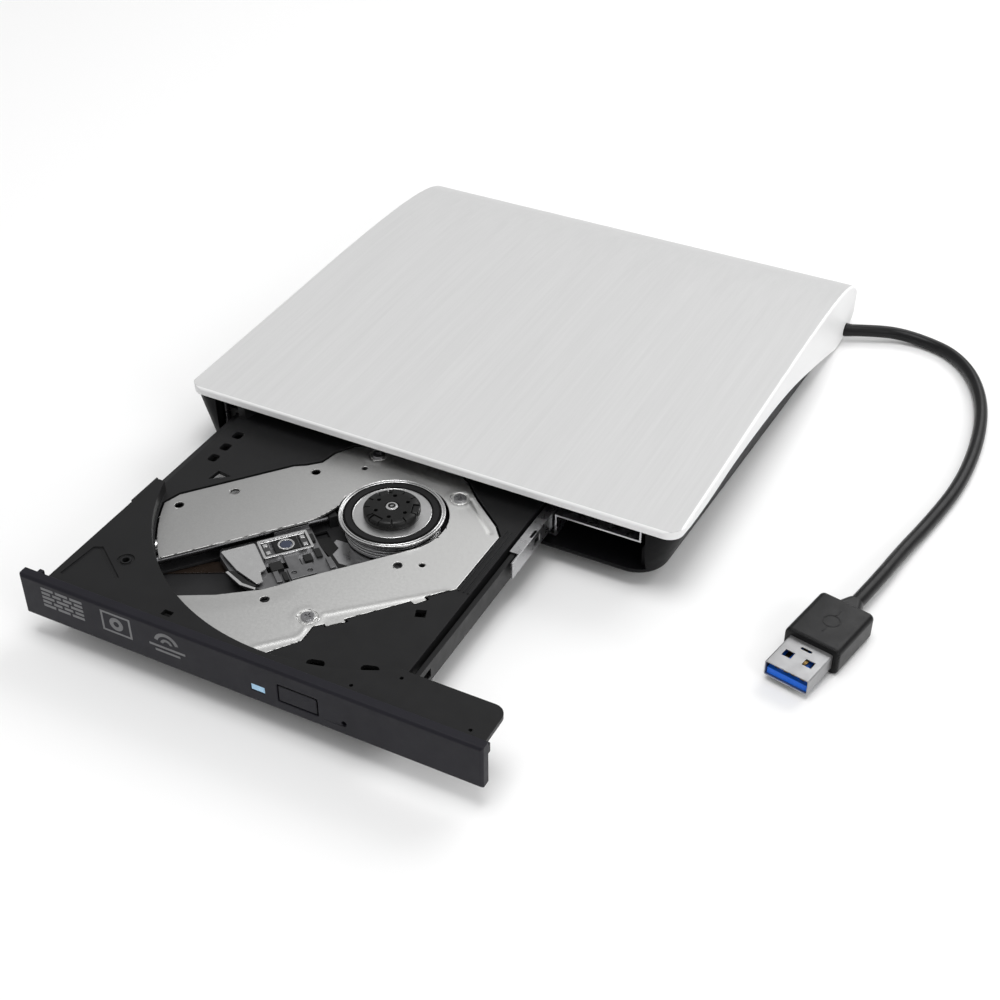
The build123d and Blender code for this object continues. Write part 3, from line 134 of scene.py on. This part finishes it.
class Shader:
    """A principled material with small helpers for its procedural detail."""

    def __init__(self, name, color, roughness, metallic=0.0, **sockets):
        self.name = name
        self.material = bpy.data.materials.new(name)
        self.material.use_nodes = True
        self.tree = self.material.node_tree
        self.shader = self.tree.nodes["Principled BSDF"]
        self.color = color
        self.roughness = roughness
        self.shader.inputs["Base Color"].default_value = (*color, 1.0)
        self.shader.inputs["Roughness"].default_value = roughness
        self.shader.inputs["Metallic"].default_value = metallic
        for socket, value in sockets.items():
            self.shader.inputs[socket.replace("_", " ")].default_value = value
        self.place = self.add("ShaderNodeTexCoord").outputs["Object"]
        self.normal = None

    def add(self, kind, **settings):
        node = self.tree.nodes.new(kind)
        for key, value in settings.items():
            setattr(node, key, value)
        return node

    def link(self, source, target):
        self.tree.links.new(source, target)

    def noise(self, scale, detail=4.0, stretch=(1, 1, 1), rough=0.6):
        """Noise whose features are about 1 / scale metres across, longer where stretch is small."""
        mapping = self.add("ShaderNodeMapping")
        mapping.inputs["Scale"].default_value = stretch
        texture = self.add("ShaderNodeTexNoise")
        texture.inputs["Scale"].default_value = scale
        texture.inputs["Detail"].default_value = detail
        texture.inputs["Roughness"].default_value = rough
        self.link(self.place, mapping.inputs["Vector"])
        self.link(mapping.outputs["Vector"], texture.inputs["Vector"])
        return texture.outputs["Fac"]

    def span(self, value, low, high, start=0.3, end=0.7):
        """Map a value from start..end to low..high."""
        node = self.add("ShaderNodeMapRange")
        for socket, number in (("From Min", start), ("From Max", end), ("To Min", low), ("To Max", high)):
            node.inputs[socket].default_value = number
        self.link(value, node.inputs["Value"])
        return node.outputs["Result"]

    def tone(self, value, dark, light, start=0.3, end=0.7):
        """Colour that goes from dark to light as the value goes from start to end."""
        ramp = self.add("ShaderNodeValToRGB")
        ramp.color_ramp.elements[0].position = start
        ramp.color_ramp.elements[1].position = end
        ramp.color_ramp.elements[0].color = (*dark, 1.0)
        ramp.color_ramp.elements[1].color = (*light, 1.0)
        self.link(value, ramp.inputs["Fac"])
        return ramp.outputs["Color"]

    def shade(self, value, spread):
        """Vary the base colour by a share either way."""
        dark = tuple(part * (1 - spread) for part in self.color)
        light = tuple(min(1.0, part * (1 + spread)) for part in self.color)
        self.link(self.tone(value, dark, light), self.shader.inputs["Base Color"])

    def rough(self, value, spread):
        """Vary the roughness by an amount either way."""
        result = self.span(value, self.roughness - spread, self.roughness + spread)
        self.link(result, self.shader.inputs["Roughness"])

    def bump(self, value, height):
        """Raise the surface by up to height metres where the value is high."""
        node = self.add("ShaderNodeBump")
        node.inputs["Strength"].default_value = 1.0
        node.inputs["Distance"].default_value = height
        self.link(value, node.inputs["Height"])
        if self.normal is not None:
            self.link(self.normal, node.inputs["Normal"])
        self.normal = node.outputs["Normal"]
        self.link(self.normal, self.shader.inputs["Normal"])

    def soften(self, radius):
        """Round every sharp edge in the shading by a small radius."""
        node = self.add("ShaderNodeBevel", samples=4)
        node.inputs["Radius"].default_value = radius
        self.normal = node.outputs["Normal"]
        self.link(self.normal, self.shader.inputs["Normal"])


def moulded(name, color, roughness, grain=0.000012, scale=2600.0, edge=0.00015, **sockets):
    """Injection-moulded plastic: fine spark grain, soft edges, slight blotches."""
    look = Shader(name, color, roughness, **sockets)
    look.soften(edge)
    look.shade(look.noise(90.0), 0.10)
    look.rough(look.noise(260.0), 0.05)
    look.bump(look.noise(scale, detail=2.0), grain)
    return look


def sheet_metal(name, color, roughness, scale=1400.0, grain=0.000006):
    """Rolled or plated sheet: fine grain, slight blotches, soft edges."""
    look = Shader(name, color, roughness, metallic=1.0)
    look.soften(0.00012)
    look.shade(look.noise(150.0), 0.06)
    look.rough(look.noise(420.0), 0.07)
    look.bump(look.noise(scale, detail=3.0), grain)
    return look


def polished(name, color, roughness):
    """Smooth turned or drawn metal with faint blotches."""
    look = Shader(name, color, roughness, metallic=1.0)
    look.soften(0.0001)
    look.shade(look.noise(300.0), 0.04)
    look.rough(look.noise(900.0), 0.04)
    return look


def make_materials():
    """Every plain finish by its slot's name, and painted_shade_rod_steel and print_grey for two kinds of
    detail; painted_shade_rod_steel is steel darkened by painted shade.
    """
    dull = {"Specular_IOR_Level": 0.22}
    made = [
        moulded("black_shell", (0.004, 0.004, 0.0045), 0.45, grain=0.000010, Specular_IOR_Level=0.07),
        moulded("black_tray", (0.010, 0.010, 0.0105), 0.42, grain=0.000008, **dull),
        moulded("bezel_black", (0.0095, 0.009, 0.0135), 0.50, grain=0.000014, edge=0.00025, **dull),
        # Near-black sheet finish, partly painted shade: it darkens sheet parts that lie in shade under
        # the deck and along the tray's edge.
        moulded("dark_sheet", (0.022, 0.022, 0.023), 0.45, **dull),
        sheet_metal("zinc_steel", (0.56, 0.56, 0.57), 0.30),
        sheet_metal("rotor_steel", (0.27, 0.27, 0.275), 0.30),
        # Steel darkened with painted shade, for the guide rods that run under the deck's edge.
        polished("painted_shade_rod_steel", (0.16, 0.16, 0.165), 0.30),
        polished("bright_steel", (0.82, 0.82, 0.82), 0.24),
        polished("screw_steel", (0.34, 0.34, 0.35), 0.30),
        moulded("green_board", (0.010, 0.085, 0.035), 0.30, grain=0.000006),
        moulded("chip_black", (0.014, 0.014, 0.014), 0.50, **dull),
        moulded("amber_flex", (0.020, 0.013, 0.009), 0.30, grain=0.000004),
        moulded("connector_black", (0.012, 0.012, 0.012), 0.45, **dull),
        moulded("feet_rubber", (0.014, 0.014, 0.014), 0.75, grain=0.00002, **dull),
        moulded("damper_rubber", (0.010, 0.010, 0.010), 0.70, **dull),
        moulded("ring_rubber", (0.007, 0.007, 0.0075), 0.55, grain=0.00001, **dull),
        moulded("cable_rubber", (0.0065, 0.0065, 0.007), 0.34, grain=0.000012, scale=1500.0, **dull),
        moulded("plug_black", (0.0045, 0.0045, 0.005), 0.34, grain=0.000016, edge=0.0003, **dull),
        sheet_metal("shell_steel", (0.36, 0.36, 0.365), 0.42, grain=0.000003),
        moulded("insert_blue", (0.010, 0.14, 0.72), 0.35, grain=0.000005, **dull),
        # Gold darkened with painted shade, for contacts that sit inside the plug's shell.
        polished("gold_contacts", (0.34, 0.22, 0.08), 0.30),
        moulded("led_white", (0.42, 0.68, 0.92), 0.25, grain=0.000003),
        moulded("white_nylon", (0.45, 0.44, 0.41), 0.45),
        polished("copper_stator", (0.40, 0.17, 0.07), 0.35),
        moulded("magnet_grey", (0.035, 0.035, 0.036), 0.5),
        sheet_metal("sled_alloy", (0.22, 0.22, 0.225), 0.42, grain=0.00002, scale=900.0),
        moulded("table_black", (0.008, 0.008, 0.008), 0.36, **dull),
        moulded("holder_black", (0.010, 0.010, 0.010), 0.45, **dull),
        moulded("print_grey", (0.16, 0.16, 0.165), 0.55, grain=0.000004),
    ]
    lens = Shader("lens_glass", (0.05, 0.06, 0.10), 0.04, Transmission_Weight=0.3, IOR=1.5)
    lens.shade(lens.noise(500.0), 0.05)
    made.append(lens)
    return {shader.name: shader.material for shader in made}


def make_deck_material():
    """Pressed sheet: cloudy satin steel with fine pepper-like grain and rolling lines, and painted shade
    that makes it darker on the left and lighter on the right.
    """
    look = Shader("deck_steel", (0.60, 0.60, 0.59), 0.40, metallic=1.0)
    pepper = look.noise(2100.0, detail=2.0)
    parts = look.add("ShaderNodeSeparateXYZ")
    look.link(look.place, parts.inputs["Vector"])
    # Painted shade and light: the colour darkens towards the left and lightens towards the right by place
    # alone.
    painted_light_ramp = look.span(parts.outputs["X"], 0.0, 1.0, -45 * MM, 25 * MM)
    shade = look.add("ShaderNodeMath", operation="MULTIPLY_ADD")
    shade.inputs[1].default_value = 0.30
    look.link(pepper, shade.inputs[0])
    look.link(painted_light_ramp, shade.inputs[2])
    color = look.tone(shade.outputs["Value"], (0.50, 0.50, 0.495), (0.80, 0.80, 0.79), 0.10, 1.20)
    look.link(color, look.shader.inputs["Base Color"])
    look.rough(look.noise(1400.0), 0.04)
    look.bump(pepper, 0.000010)
    look.bump(look.noise(1500.0, stretch=(1.0, 0.05, 1.0)), 0.000004)
    return look.material


RING_PITCH = 0.12 * MM
SEAT_INNER = 10.27 * MM
SEAT_OUTER = 12.80 * MM
SEAT_BLUR = 0.02 * MM


def make_table_material():
    """Turned steel of the turntable, with fine rings and a dark band where the disc sits."""
    hub = body_middle("turntable")
    look = Shader("table_steel", (0.62, 0.62, 0.62), 0.28, metallic=1.0)
    out = look.add("ShaderNodeVectorMath", operation="DISTANCE")
    flat = look.add("ShaderNodeVectorMath", operation="MULTIPLY")
    flat.inputs[1].default_value = (1.0, 1.0, 0.0)
    look.link(look.place, flat.inputs[0])
    look.link(flat.outputs["Vector"], out.inputs[0])
    out.inputs[1].default_value = (hub.x, hub.y, 0.0)
    rings = look.add("ShaderNodeMath", operation="SINE")
    dense = look.add("ShaderNodeMath", operation="MULTIPLY")
    dense.inputs[1].default_value = 2 * math.pi / RING_PITCH
    look.link(out.outputs["Value"], dense.inputs[0])
    look.link(dense.outputs["Value"], rings.inputs[0])
    inside = look.span(out.outputs["Value"], 0.0, 1.0, SEAT_INNER - SEAT_BLUR, SEAT_INNER + SEAT_BLUR)
    outside = look.span(out.outputs["Value"], 1.0, 0.0, SEAT_OUTER - SEAT_BLUR, SEAT_OUTER + SEAT_BLUR)
    groove = look.add("ShaderNodeMath", operation="MULTIPLY")
    look.link(inside, groove.inputs[0])
    look.link(outside, groove.inputs[1])
    mix = look.add("ShaderNodeMix", data_type="RGBA")
    look.link(look.tone(look.noise(120.0), (0.64, 0.64, 0.64), (0.78, 0.78, 0.78)), mix.inputs["A"])
    mix.inputs["B"].default_value = (0.012, 0.012, 0.012, 1.0)
    look.link(groove.outputs["Value"], mix.inputs["Factor"])
    look.link(mix.outputs["Result"], look.shader.inputs["Base Color"])
    look.bump(rings.outputs["Value"], 0.000002)
    return look.material


def make_cover_material():
    """White moulding whose upper face carries a brushed light grey film, brushed front to rear."""
    look = Shader("light_grey_cover", (0.66, 0.66, 0.66), 0.40, Specular_IOR_Level=0.25)
    look.soften(0.0002)
    geometry = look.add("ShaderNodeNewGeometry")
    parts = look.add("ShaderNodeSeparateXYZ")
    look.link(geometry.outputs["Normal"], parts.inputs["Vector"])
    side = look.add("ShaderNodeMath", operation="ABSOLUTE")
    look.link(parts.outputs["X"], side.inputs[0])
    off_side = look.span(side.outputs["Value"], 1.0, 0.0, 0.25, 0.35)
    off_front = look.span(parts.outputs["Y"], 0.0, 1.0, -0.45, -0.30)
    upper = look.span(parts.outputs["Z"], 0.0, 1.0, -0.15, 0.0)
    both = look.add("ShaderNodeMath", operation="MULTIPLY")
    film = look.add("ShaderNodeMath", operation="MULTIPLY")
    look.link(off_side, both.inputs[0])
    look.link(off_front, both.inputs[1])
    look.link(both.outputs["Value"], film.inputs[0])
    look.link(upper, film.inputs[1])
    lines = look.noise(900.0, detail=5.0, stretch=(1.0, 0.018, 1.0), rough=0.75)
    brushed = look.tone(lines, (0.545, 0.545, 0.545), (0.60, 0.60, 0.60), 0.25, 0.75)
    mix = look.add("ShaderNodeMix", data_type="RGBA")
    mix.inputs["A"].default_value = (0.86, 0.86, 0.86, 1.0)
    look.link(film.outputs["Value"], mix.inputs["Factor"])
    look.link(brushed, mix.inputs["B"])
    look.link(mix.outputs["Result"], look.shader.inputs["Base Color"])
    look.rough(lines, 0.08)
    look.bump(lines, 0.000004)
    return look.material


materials = make_materials()
materials["light_grey_cover"] = make_cover_material()
materials["deck_steel"] = make_deck_material()
materials["table_steel"] = make_table_material()


slot_of = {entry["node"]: entry["material_slot"] for entry in frame["record"]["subparts"]}
body_of = {node: body for body, nodes in frame["record"]["behaviour"]["bodies"].items() for node in nodes}


def paint(piece, look):
    piece.data.materials.clear()
    piece.data.materials.append(materials[look])


for node, slot in slot_of.items():
    paint(cad_nodes[node], slot)
# The guide rods get steel darkened with painted shade, for where they lie under the deck's edge.
paint(cad_nodes["main_guide_rod"], "painted_shade_rod_steel")
paint(cad_nodes["sub_guide_rod"], "painted_shade_rod_steel")
paint(cable, "cable_rubber")


# ---------------------------------------------------------------- making pieces
def add_piece(name, shape, body, slot, look=None):
    """Object from a bmesh, riding on a body, with the finish of a record slot or another."""
    mesh = bpy.data.meshes.new(name)
    shape.to_mesh(mesh)
    shape.free()
    piece = bpy.data.objects.new(name, mesh)
    bpy.context.scene.collection.objects.link(piece)
    mesh.materials.append(materials[look or slot])
    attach(piece, body)
    return piece


def welded_copy(node):
    """Closed bmesh of a CAD node's own shape, its flat faces merged."""
    shape = bmesh.new()
    shape.from_mesh(cad_nodes[node].data)
    bmesh.ops.remove_doubles(shape, verts=shape.verts, dist=0.5e-6)
    bmesh.ops.dissolve_limit(shape, angle_limit=math.radians(0.4), verts=shape.verts, edges=shape.edges)
    return shape


def smooth_with_sharp_edges(piece, angle):
    """Shade smooth, with edges sharper than an angle in degrees kept crisp."""
    mesh = piece.data
    if "custom_normal" in mesh.attributes:
        mesh.attributes.remove(mesh.attributes["custom_normal"])
    mesh.polygons.foreach_set("use_smooth", [True] * len(mesh.polygons))
    mesh.set_sharp_from_angle(angle=math.radians(angle))


def edge_bevel(piece, width, segments, angle):
    """Round every edge sharper than an angle in degrees."""
    bevel = piece.modifiers.new("edges", "BEVEL")
    bevel.width = width
    bevel.segments = segments
    bevel.limit_method = "ANGLE"
    bevel.angle_limit = math.radians(angle)
    bevel.use_clamp_overlap = False
    bevel.harden_normals = True


def rounded(node, width, segments=2, angle=32):
    """Stand for a CAD node by its own shape with truly rounded edges."""
    piece = add_piece(node + "_moulded", welded_copy(node), body_of[node], slot_of[node])
    smooth_with_sharp_edges(piece, angle)
    edge_bevel(piece, width, segments, angle)
    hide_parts(node)
    return piece


# ---------------------------------------------------------------- places on the frame
RIGHT, REAR, UP = Vector((1, 0, 0)), Vector((0, 1, 0)), Vector((0, 0, 1))
SLED_ANGLE = math.radians(229.5)
ALONG = Vector((math.cos(SLED_ANGLE), math.sin(SLED_ANGLE), 0.0))
ACROSS = Vector((-ALONG.y, ALONG.x, 0.0))
bezel_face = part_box("bezel")[0][1]
hub = body_middle("disc_chuck")
hub.z = 0.0


def top_of(node):
    """Height of a CAD node's top."""
    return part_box(node)[1][2]


def behind(x, d):
    """Point on the floor in metres from millimetres across and behind the bezel's face."""
    return Vector((x * MM, bezel_face + d * MM, 0.0))


def on_traverse(along, across, z):
    """Point in metres from millimetres along the pickup's travel, across it, and up."""
    return hub + ALONG * along * MM + ACROSS * across * MM + Vector((0, 0, z * MM))


# ---------------------------------------------------------------- pressed deck plate
# the press's lines in plan, and the sizes of its relief in millimetres
FRONT_BEAD = [behind(x, d) for x, d in ((-2.0, 8.4), (4.9, 15.7), (5.4, 17.6), (5.0, 19.0))]
RIGHT_BEAD = [behind(x, d) for x, d in ((6.6, 25.6), (20.3, 38.4), (29.0, 46.4))]
BEAD_HEIGHT = 0.26
BEAD_WIDTH = 0.55
REAR_GROOVE = [behind(17.1, 81.1), behind(28.0, 71.3)]
GROOVE_DEPTH = 0.28
GROOVE_WIDTH = 0.42
SLOT_EDGE = [on_traverse(x, y, 0) for x, y in ((36.0, 14.8), (39.0, 14.8), (50.0, 12.4), (60.0, 8.6))]
DISH_DEPTH = 0.32
DISH_WIDTH = 7.0
DECK_SCREWS = [behind(14.3, 80.1), behind(3.6, 22.9), behind(-14.5, 87.0)]
SCREW_SEAT_R = 1.6
SCREW_RING_R = 3.2
SCREW_RING_HEIGHT = 0.14
SCREW_RING_WIDTH = 0.8


def line_distance(point, corners):
    """Distance in plan, in millimetres, from a point to a chain of corners."""
    gaps = []
    for start, end in zip(corners, corners[1:]):
        run = (end - start).to_2d()
        way = (point - start).to_2d()
        share = min(1.0, max(0.0, way.dot(run) / run.length_squared))
        gaps.append((way - run * share).length)
    return min(gaps) / MM


def ease(value):
    """Smooth step from 0 to 1."""
    value = min(1.0, max(0.0, value))
    return value * value * (3 - 2 * value)


def swell(distance, width):
    """Section of a rounded bead: 1 on its middle line, fading over its width."""
    return math.exp(-(distance / width) ** 2)


def deck_relief(point):
    """Height in metres that the press gave the deck at a point in plan."""
    height = 0.0
    for line in (FRONT_BEAD, RIGHT_BEAD):
        height += BEAD_HEIGHT * swell(line_distance(point, line), BEAD_WIDTH)
    height -= GROOVE_DEPTH * swell(line_distance(point, REAR_GROOVE), GROOVE_WIDTH)
    height -= DISH_DEPTH * (1 - ease(line_distance(point, SLOT_EDGE) / DISH_WIDTH))
    for screw in DECK_SCREWS:
        radius = (point - screw).to_2d().length / MM
        height += SCREW_RING_HEIGHT * swell(radius - SCREW_RING_R, SCREW_RING_WIDTH)
        height *= ease(radius - SCREW_SEAT_R)
    return height * MM


PRESS_GRID = 0.5 * MM


def make_deck():
    """The CAD deck cut into a fine grid and pressed into its relief."""
    shape = welded_copy("deck_plate")
    low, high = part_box("deck_plate")
    for axis, normal in enumerate((RIGHT, REAR)):
        count = int((high[axis] - low[axis]) / PRESS_GRID)
        for line in range(1, count + 1):
            place = normal * (low[axis] + line * PRESS_GRID)
            geometry = shape.verts[:] + shape.edges[:] + shape.faces[:]
            bmesh.ops.bisect_plane(shape, geom=geometry, plane_co=place, plane_no=normal, dist=1e-7)
    for vertex in shape.verts:
        vertex.co.z += deck_relief(vertex.co)
    deck = add_piece("pressed_deck", shape, "tray_unit", "deck_steel")
    smooth_with_sharp_edges(deck, 40)
    edge_bevel(deck, 0.12 * MM, 2, 40)
    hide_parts("deck_plate")


make_deck()


# ---------------------------------------------------------------- rounded mouldings
rounded("bezel", 0.22 * MM, segments=3)
rounded("tray", 0.10 * MM, segments=1, angle=50)
rounded("eject_button", 0.18 * MM)
plug_body = rounded("usb_plug_body", 0.45 * MM, segments=3, angle=25)
plug_shell = rounded("usb_plug_shell", 0.06 * MM, segments=1, angle=50)
for node, width, segments in (("left_slide_rail", 0.08, 1), ("right_slide_rail", 0.08, 1),
                              ("disc_chuck", 0.10, 2), ("sled_base", 0.10, 1),
                              ("laser_holder", 0.08, 1), ("actuator_yoke", 0.06, 1)):
    rounded(node, width * MM, segments, angle=50)


# ---------------------------------------------------------------- prints and small trim
def extruded(shape, outline, origin, right, up, thickness):
    """Add to a bmesh a prism over an outline given in the plane of right and up."""
    normal = right.cross(up).normalized()
    base = [shape.verts.new(origin + right * x + up * y) for x, y in outline]
    top = [shape.verts.new(vertex.co + normal * thickness) for vertex in base]
    count = len(outline)
    shape.faces.new(list(reversed(base)))
    shape.faces.new(top)
    for index in range(count):
        after = (index + 1) % count
        shape.faces.new((base[index], base[after], top[after], top[index]))


def ring(shape, origin, right, up, outer, inner, thickness, start=0.0, sweep=360.0, steps=40):
    """Add a flat ring or a part of one to a bmesh, as joined prisms."""
    for index in range(steps):
        first = math.radians(start + sweep * index / steps)
        last = math.radians(start + sweep * (index + 1) / steps)
        outline = [(inner * math.cos(first), inner * math.sin(first)),
                   (outer * math.cos(first), outer * math.sin(first)),
                   (outer * math.cos(last), outer * math.sin(last)),
                   (inner * math.cos(last), inner * math.sin(last))]
        extruded(shape, outline, origin, right, up, thickness)
    bmesh.ops.remove_doubles(shape, verts=shape.verts, dist=1e-7)


def bar(shape, origin, right, up, x, y, width, height, thickness):
    """Add a bar to a bmesh, with its corner and size in millimetres."""
    outline = [(x * MM, y * MM), ((x + width) * MM, y * MM), ((x + width) * MM, (y + height) * MM),
               (x * MM, (y + height) * MM)]
    extruded(shape, outline, origin, right, up, thickness)


def make_bezel_prints():
    """Three plain pictograms on the left of the bezel: bars, a framed ring and an arc over bars."""
    film = 0.03 * MM
    face = bezel_face + 0.02 * MM
    shape = bmesh.new()
    corner = Vector((-58.3 * MM, face, 11.8 * MM))
    for row in range(5):
        for column in range(4 if row % 2 else 3):
            wide = 2.6 if row % 2 else 3.7
            bar(shape, corner, RIGHT, UP, column * (wide + 0.7), row * 1.3, wide, 0.8, film)
    frame_middle = Vector((-35.9 * MM, face, 14.8 * MM))
    for x, y, width, height in ((-4.4, -3.2, 8.8, 0.6), (-4.4, 2.6, 8.8, 0.6), (-4.4, -2.6, 0.6, 5.2),
                                (3.8, -2.6, 0.6, 5.2)):
        bar(shape, frame_middle, RIGHT, UP, x, y, width, height, film)
    add_piece("bezel_prints", shape, "tray_unit", "bezel_black", "print_grey")
    shape = bmesh.new()
    ring(shape, frame_middle, RIGHT, UP, 2.0 * MM, 0.8 * MM, film)
    arc_middle = Vector((-21.2 * MM, face, 14.2 * MM))
    ring(shape, arc_middle, RIGHT, UP, 3.6 * MM, 2.6 * MM, film, start=15, sweep=150)
    ring(shape, arc_middle, RIGHT, UP, 1.8 * MM, 1.0 * MM, film, start=15, sweep=150)
    bar(shape, arc_middle, RIGHT, UP, -5.2, -1.4, 10.4, 0.7, film)
    bar(shape, arc_middle, RIGHT, UP, -3.6, -2.8, 7.2, 0.7, film)
    add_piece("bezel_ring_prints", shape, "tray_unit", "bezel_black", "print_grey")


make_bezel_prints()


# ---------------------------------------------------------------- pickup, spindle and plug details
def sled_block(shape, along, across, length, width, low, high):
    """Add a block, centred at along and across in the pickup's own directions, in millimetres."""
    outline = [(-length / 2 * MM, -width / 2 * MM), (length / 2 * MM, -width / 2 * MM),
               (length / 2 * MM, width / 2 * MM), (-length / 2 * MM, width / 2 * MM)]
    extruded(shape, outline, on_traverse(along, across, low), ALONG, ACROSS, (high - low) * MM)


def sled_sheet(shape, outline, low, high):
    """Add a flat sheet whose corners are along and across the travel, in millimetres."""
    corners = [(x * MM, y * MM) for x, y in outline]
    extruded(shape, corners, on_traverse(0, 0, low), ALONG, ACROSS, (high - low) * MM)


# along, across, length, width, lower and upper level of each block, in millimetres
SPRING_PADS = [(along, across, 1.1, 1.2, 13.6, 13.72) for along in (23.7, 33.5) for across in (-2.3, 0.7)]
SPRING_STRIPS = [(28.6, across, 11.6, 0.22, 13.30, 13.52) for across in (-3.75, 2.15)]
CHIPS = [
    (33.0, 6.0, 3.2, 3.2, 12.4, 13.45),
    (24.6, 5.6, 2.2, 2.6, 12.4, 13.25),
    (31.9, 10.4, 1.2, 3.2, 12.4, 13.2),
    (21.6, 4.4, 1.6, 3.4, 12.4, 13.0),
    (21.4, -1.6, 1.2, 3.0, 12.4, 13.3),
]
BRIGHT_CLIP = [(44.7, 3.2), (45.4, 3.4), (43.4, 9.4), (40.4, 12.6), (40.0, 12.0), (42.6, 9.0)]
DARK_CLIP = [(43.2, 3.9), (44.6, 3.2), (42.6, 9.0), (40.2, 11.6), (39.6, 11.2), (41.6, 8.0)]


def make_pickup_details():
    """Spring plates, clip and chips on the sled, and the bright rim around the lens."""
    bright = bmesh.new()
    for block in SPRING_PADS + SPRING_STRIPS:
        sled_block(bright, *block)
    sled_sheet(bright, BRIGHT_CLIP, 12.9, 13.3)
    piece = add_piece("pickup_springs", bright, "pickup_sled", "bright_steel")
    edge_bevel(piece, 0.05 * MM, 1, 40)
    dark = bmesh.new()
    for block in CHIPS:
        sled_block(dark, *block)
    sled_sheet(dark, DARK_CLIP, 12.4, 13.3)
    piece = add_piece("pickup_chips", dark, "pickup_sled", "chip_black")
    edge_bevel(piece, 0.08 * MM, 2, 40)
    rim = bmesh.new()
    middle = body_middle("objective_lens")
    middle.z = top_of("lens_holder")
    ring(rim, middle, ALONG, ACROSS, 2.15 * MM, 1.66 * MM, 0.10 * MM)
    add_piece("lens_rim", rim, "lens", "bright_steel")


def make_motor_board():
    """Light board beside the spindle motor, with the dark flex of the pickup over it."""
    board = bmesh.new()
    sled_sheet(board, [(3.0, 14.6), (11.4, 14.0), (18.6, 9.6), (20.0, 2.0), (14.8, -2.0), (11.0, 2.0),
                       (8.0, 8.6)], 9.92, 10.02)
    add_piece("motor_board", board, "tray_unit", "zinc_steel")
    flex = bmesh.new()
    sled_sheet(flex, [(20.6, -4.2), (16.2, -3.4), (15.4, 1.4), (17.6, 3.2), (17.2, 7.4), (15.2, 9.4),
                      (15.0, 12.2), (20.6, 12.6)], 10.04, 10.16)
    add_piece("pickup_flex_end", flex, "tray_unit", "amber_flex", "chip_black")


def bead(shape, middle, radius, thickness, steps=96, around=10):
    """Add a closed round bead about a vertical axis to a bmesh."""
    rows = []
    for index in range(steps):
        turn = 2 * math.pi * index / steps
        out = Vector((math.cos(turn), math.sin(turn), 0))
        row = []
        for part in range(around):
            lean = 2 * math.pi * part / around
            place = middle + out * (radius + thickness * math.cos(lean))
            row.append(shape.verts.new(place + Vector((0, 0, thickness * math.sin(lean)))))
        rows.append(row)
    for index in range(steps):
        row, after = rows[index], rows[(index + 1) % steps]
        for part in range(around):
            up = (part + 1) % around
            shape.faces.new((row[part], after[part], after[up], row[up])).smooth = True


def make_spindle_details():
    """Turned beads on the turntable and the rotor, and a thin black ring on the shaft's end as painted
    shade for its recess.
    """
    beads = bmesh.new()
    seat = hub + UP * top_of("turntable")
    for radius, depth, thickness in ((13.72, 0.02, 0.16), (12.98, 0.08, 0.16), (10.20, 0.12, 0.12)):
        bead(beads, seat - UP * depth * MM, radius * MM, thickness * MM)
    add_piece("turntable_beads", beads, "spindle", "table_steel", "bright_steel")
    # Painted shade: a thin black ring on the shaft's end stands for the shade in its recess.
    dark = bmesh.new()
    ring(dark, hub + UP * top_of("spindle_shaft"), RIGHT, REAR, 1.00 * MM, 0.42 * MM, 0.03 * MM)
    add_piece("shaft_end_painted_shade", dark, "spindle", "table_black")
    rotor = bmesh.new()
    rotor_low, rotor_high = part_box("spindle_rotor")
    for share in (0.18, 0.34, 0.52):
        level = rotor_low[2] + (rotor_high[2] - rotor_low[2]) * share
        bead(rotor, hub + UP * level, 12.5 * MM, 0.10 * MM)
    add_piece("rotor_beads", rotor, "spindle", "rotor_steel", "bright_steel")


def make_plug_mark():
    """Plain raised ring and bar on top of the plug, along its length."""
    middle = body_middle("usb_plug_body")
    middle.z = top_of("usb_plug_body")
    front = body_middle("usb_plug_shell")
    ahead = Vector((front.x - middle.x, front.y - middle.y, 0)).normalized()
    beside = Vector((-ahead.y, ahead.x, 0))
    mark = bmesh.new()
    ring(mark, middle + beside * 0.3 * MM, ahead, beside, 2.3 * MM, 1.9 * MM, 0.05 * MM)
    bar(mark, middle, ahead, beside, -4.6, 0.05, 2.2, 0.5, 0.05 * MM)
    bar(mark, middle, ahead, beside, 2.4, 0.05, 2.2, 0.5, 0.05 * MM)
    add_piece("plug_mark", mark, "enclosure", "plug_black", "black_tray")


make_pickup_details()
make_motor_board()
make_spindle_details()
make_plug_mark()


# ---------------------------------------------------------------- floor and light
def make_floor():
    """Plain white floor, which isn't part of the object."""
    mesh = bpy.data.meshes.new("floor")
    shape = bmesh.new()
    bmesh.ops.create_grid(shape, x_segments=2, y_segments=2, size=3.0)
    shape.to_mesh(mesh)
    shape.free()
    floor = bpy.data.objects.new("floor", mesh)
    bpy.context.scene.collection.objects.link(floor)
    plain = Shader("floor", (0.92, 0.92, 0.92), 0.9)
    mesh.materials.append(plain.material)


def area_light(name, place, size, power):
    """Rectangular light that faces the middle of the frame."""
    data = bpy.data.lights.new(name, "AREA")
    data.shape = "RECTANGLE"
    data.size = size[0]
    data.size_y = size[1]
    data.energy = power
    light = bpy.data.objects.new(name, data)
    bpy.context.scene.collection.objects.link(light)
    turn = Vector(place).to_track_quat("Z", "Y").to_matrix().to_4x4()
    light.matrix_world = Matrix.Translation(place) @ turn


def make_lights():
    """White studio: an even sky and three wide lights."""
    world = bpy.data.worlds.new("studio")
    world.use_nodes = True
    sky = world.node_tree.nodes["Background"]
    sky.inputs["Color"].default_value = (1.0, 1.0, 1.0, 1.0)
    sky.inputs["Strength"].default_value = 0.44
    bpy.context.scene.world = world
    area_light("key", (0.05, -0.15, 1.2), (0.6, 0.6), 7.0)
    area_light("fill", (1.0, -0.35, 0.5), (0.7, 0.6), 3.2)
    area_light("rear", (0.30, 0.95, 0.85), (1.0, 0.6), 6.0)


make_floor()
make_lights()

bpy.context.view_layer.update()
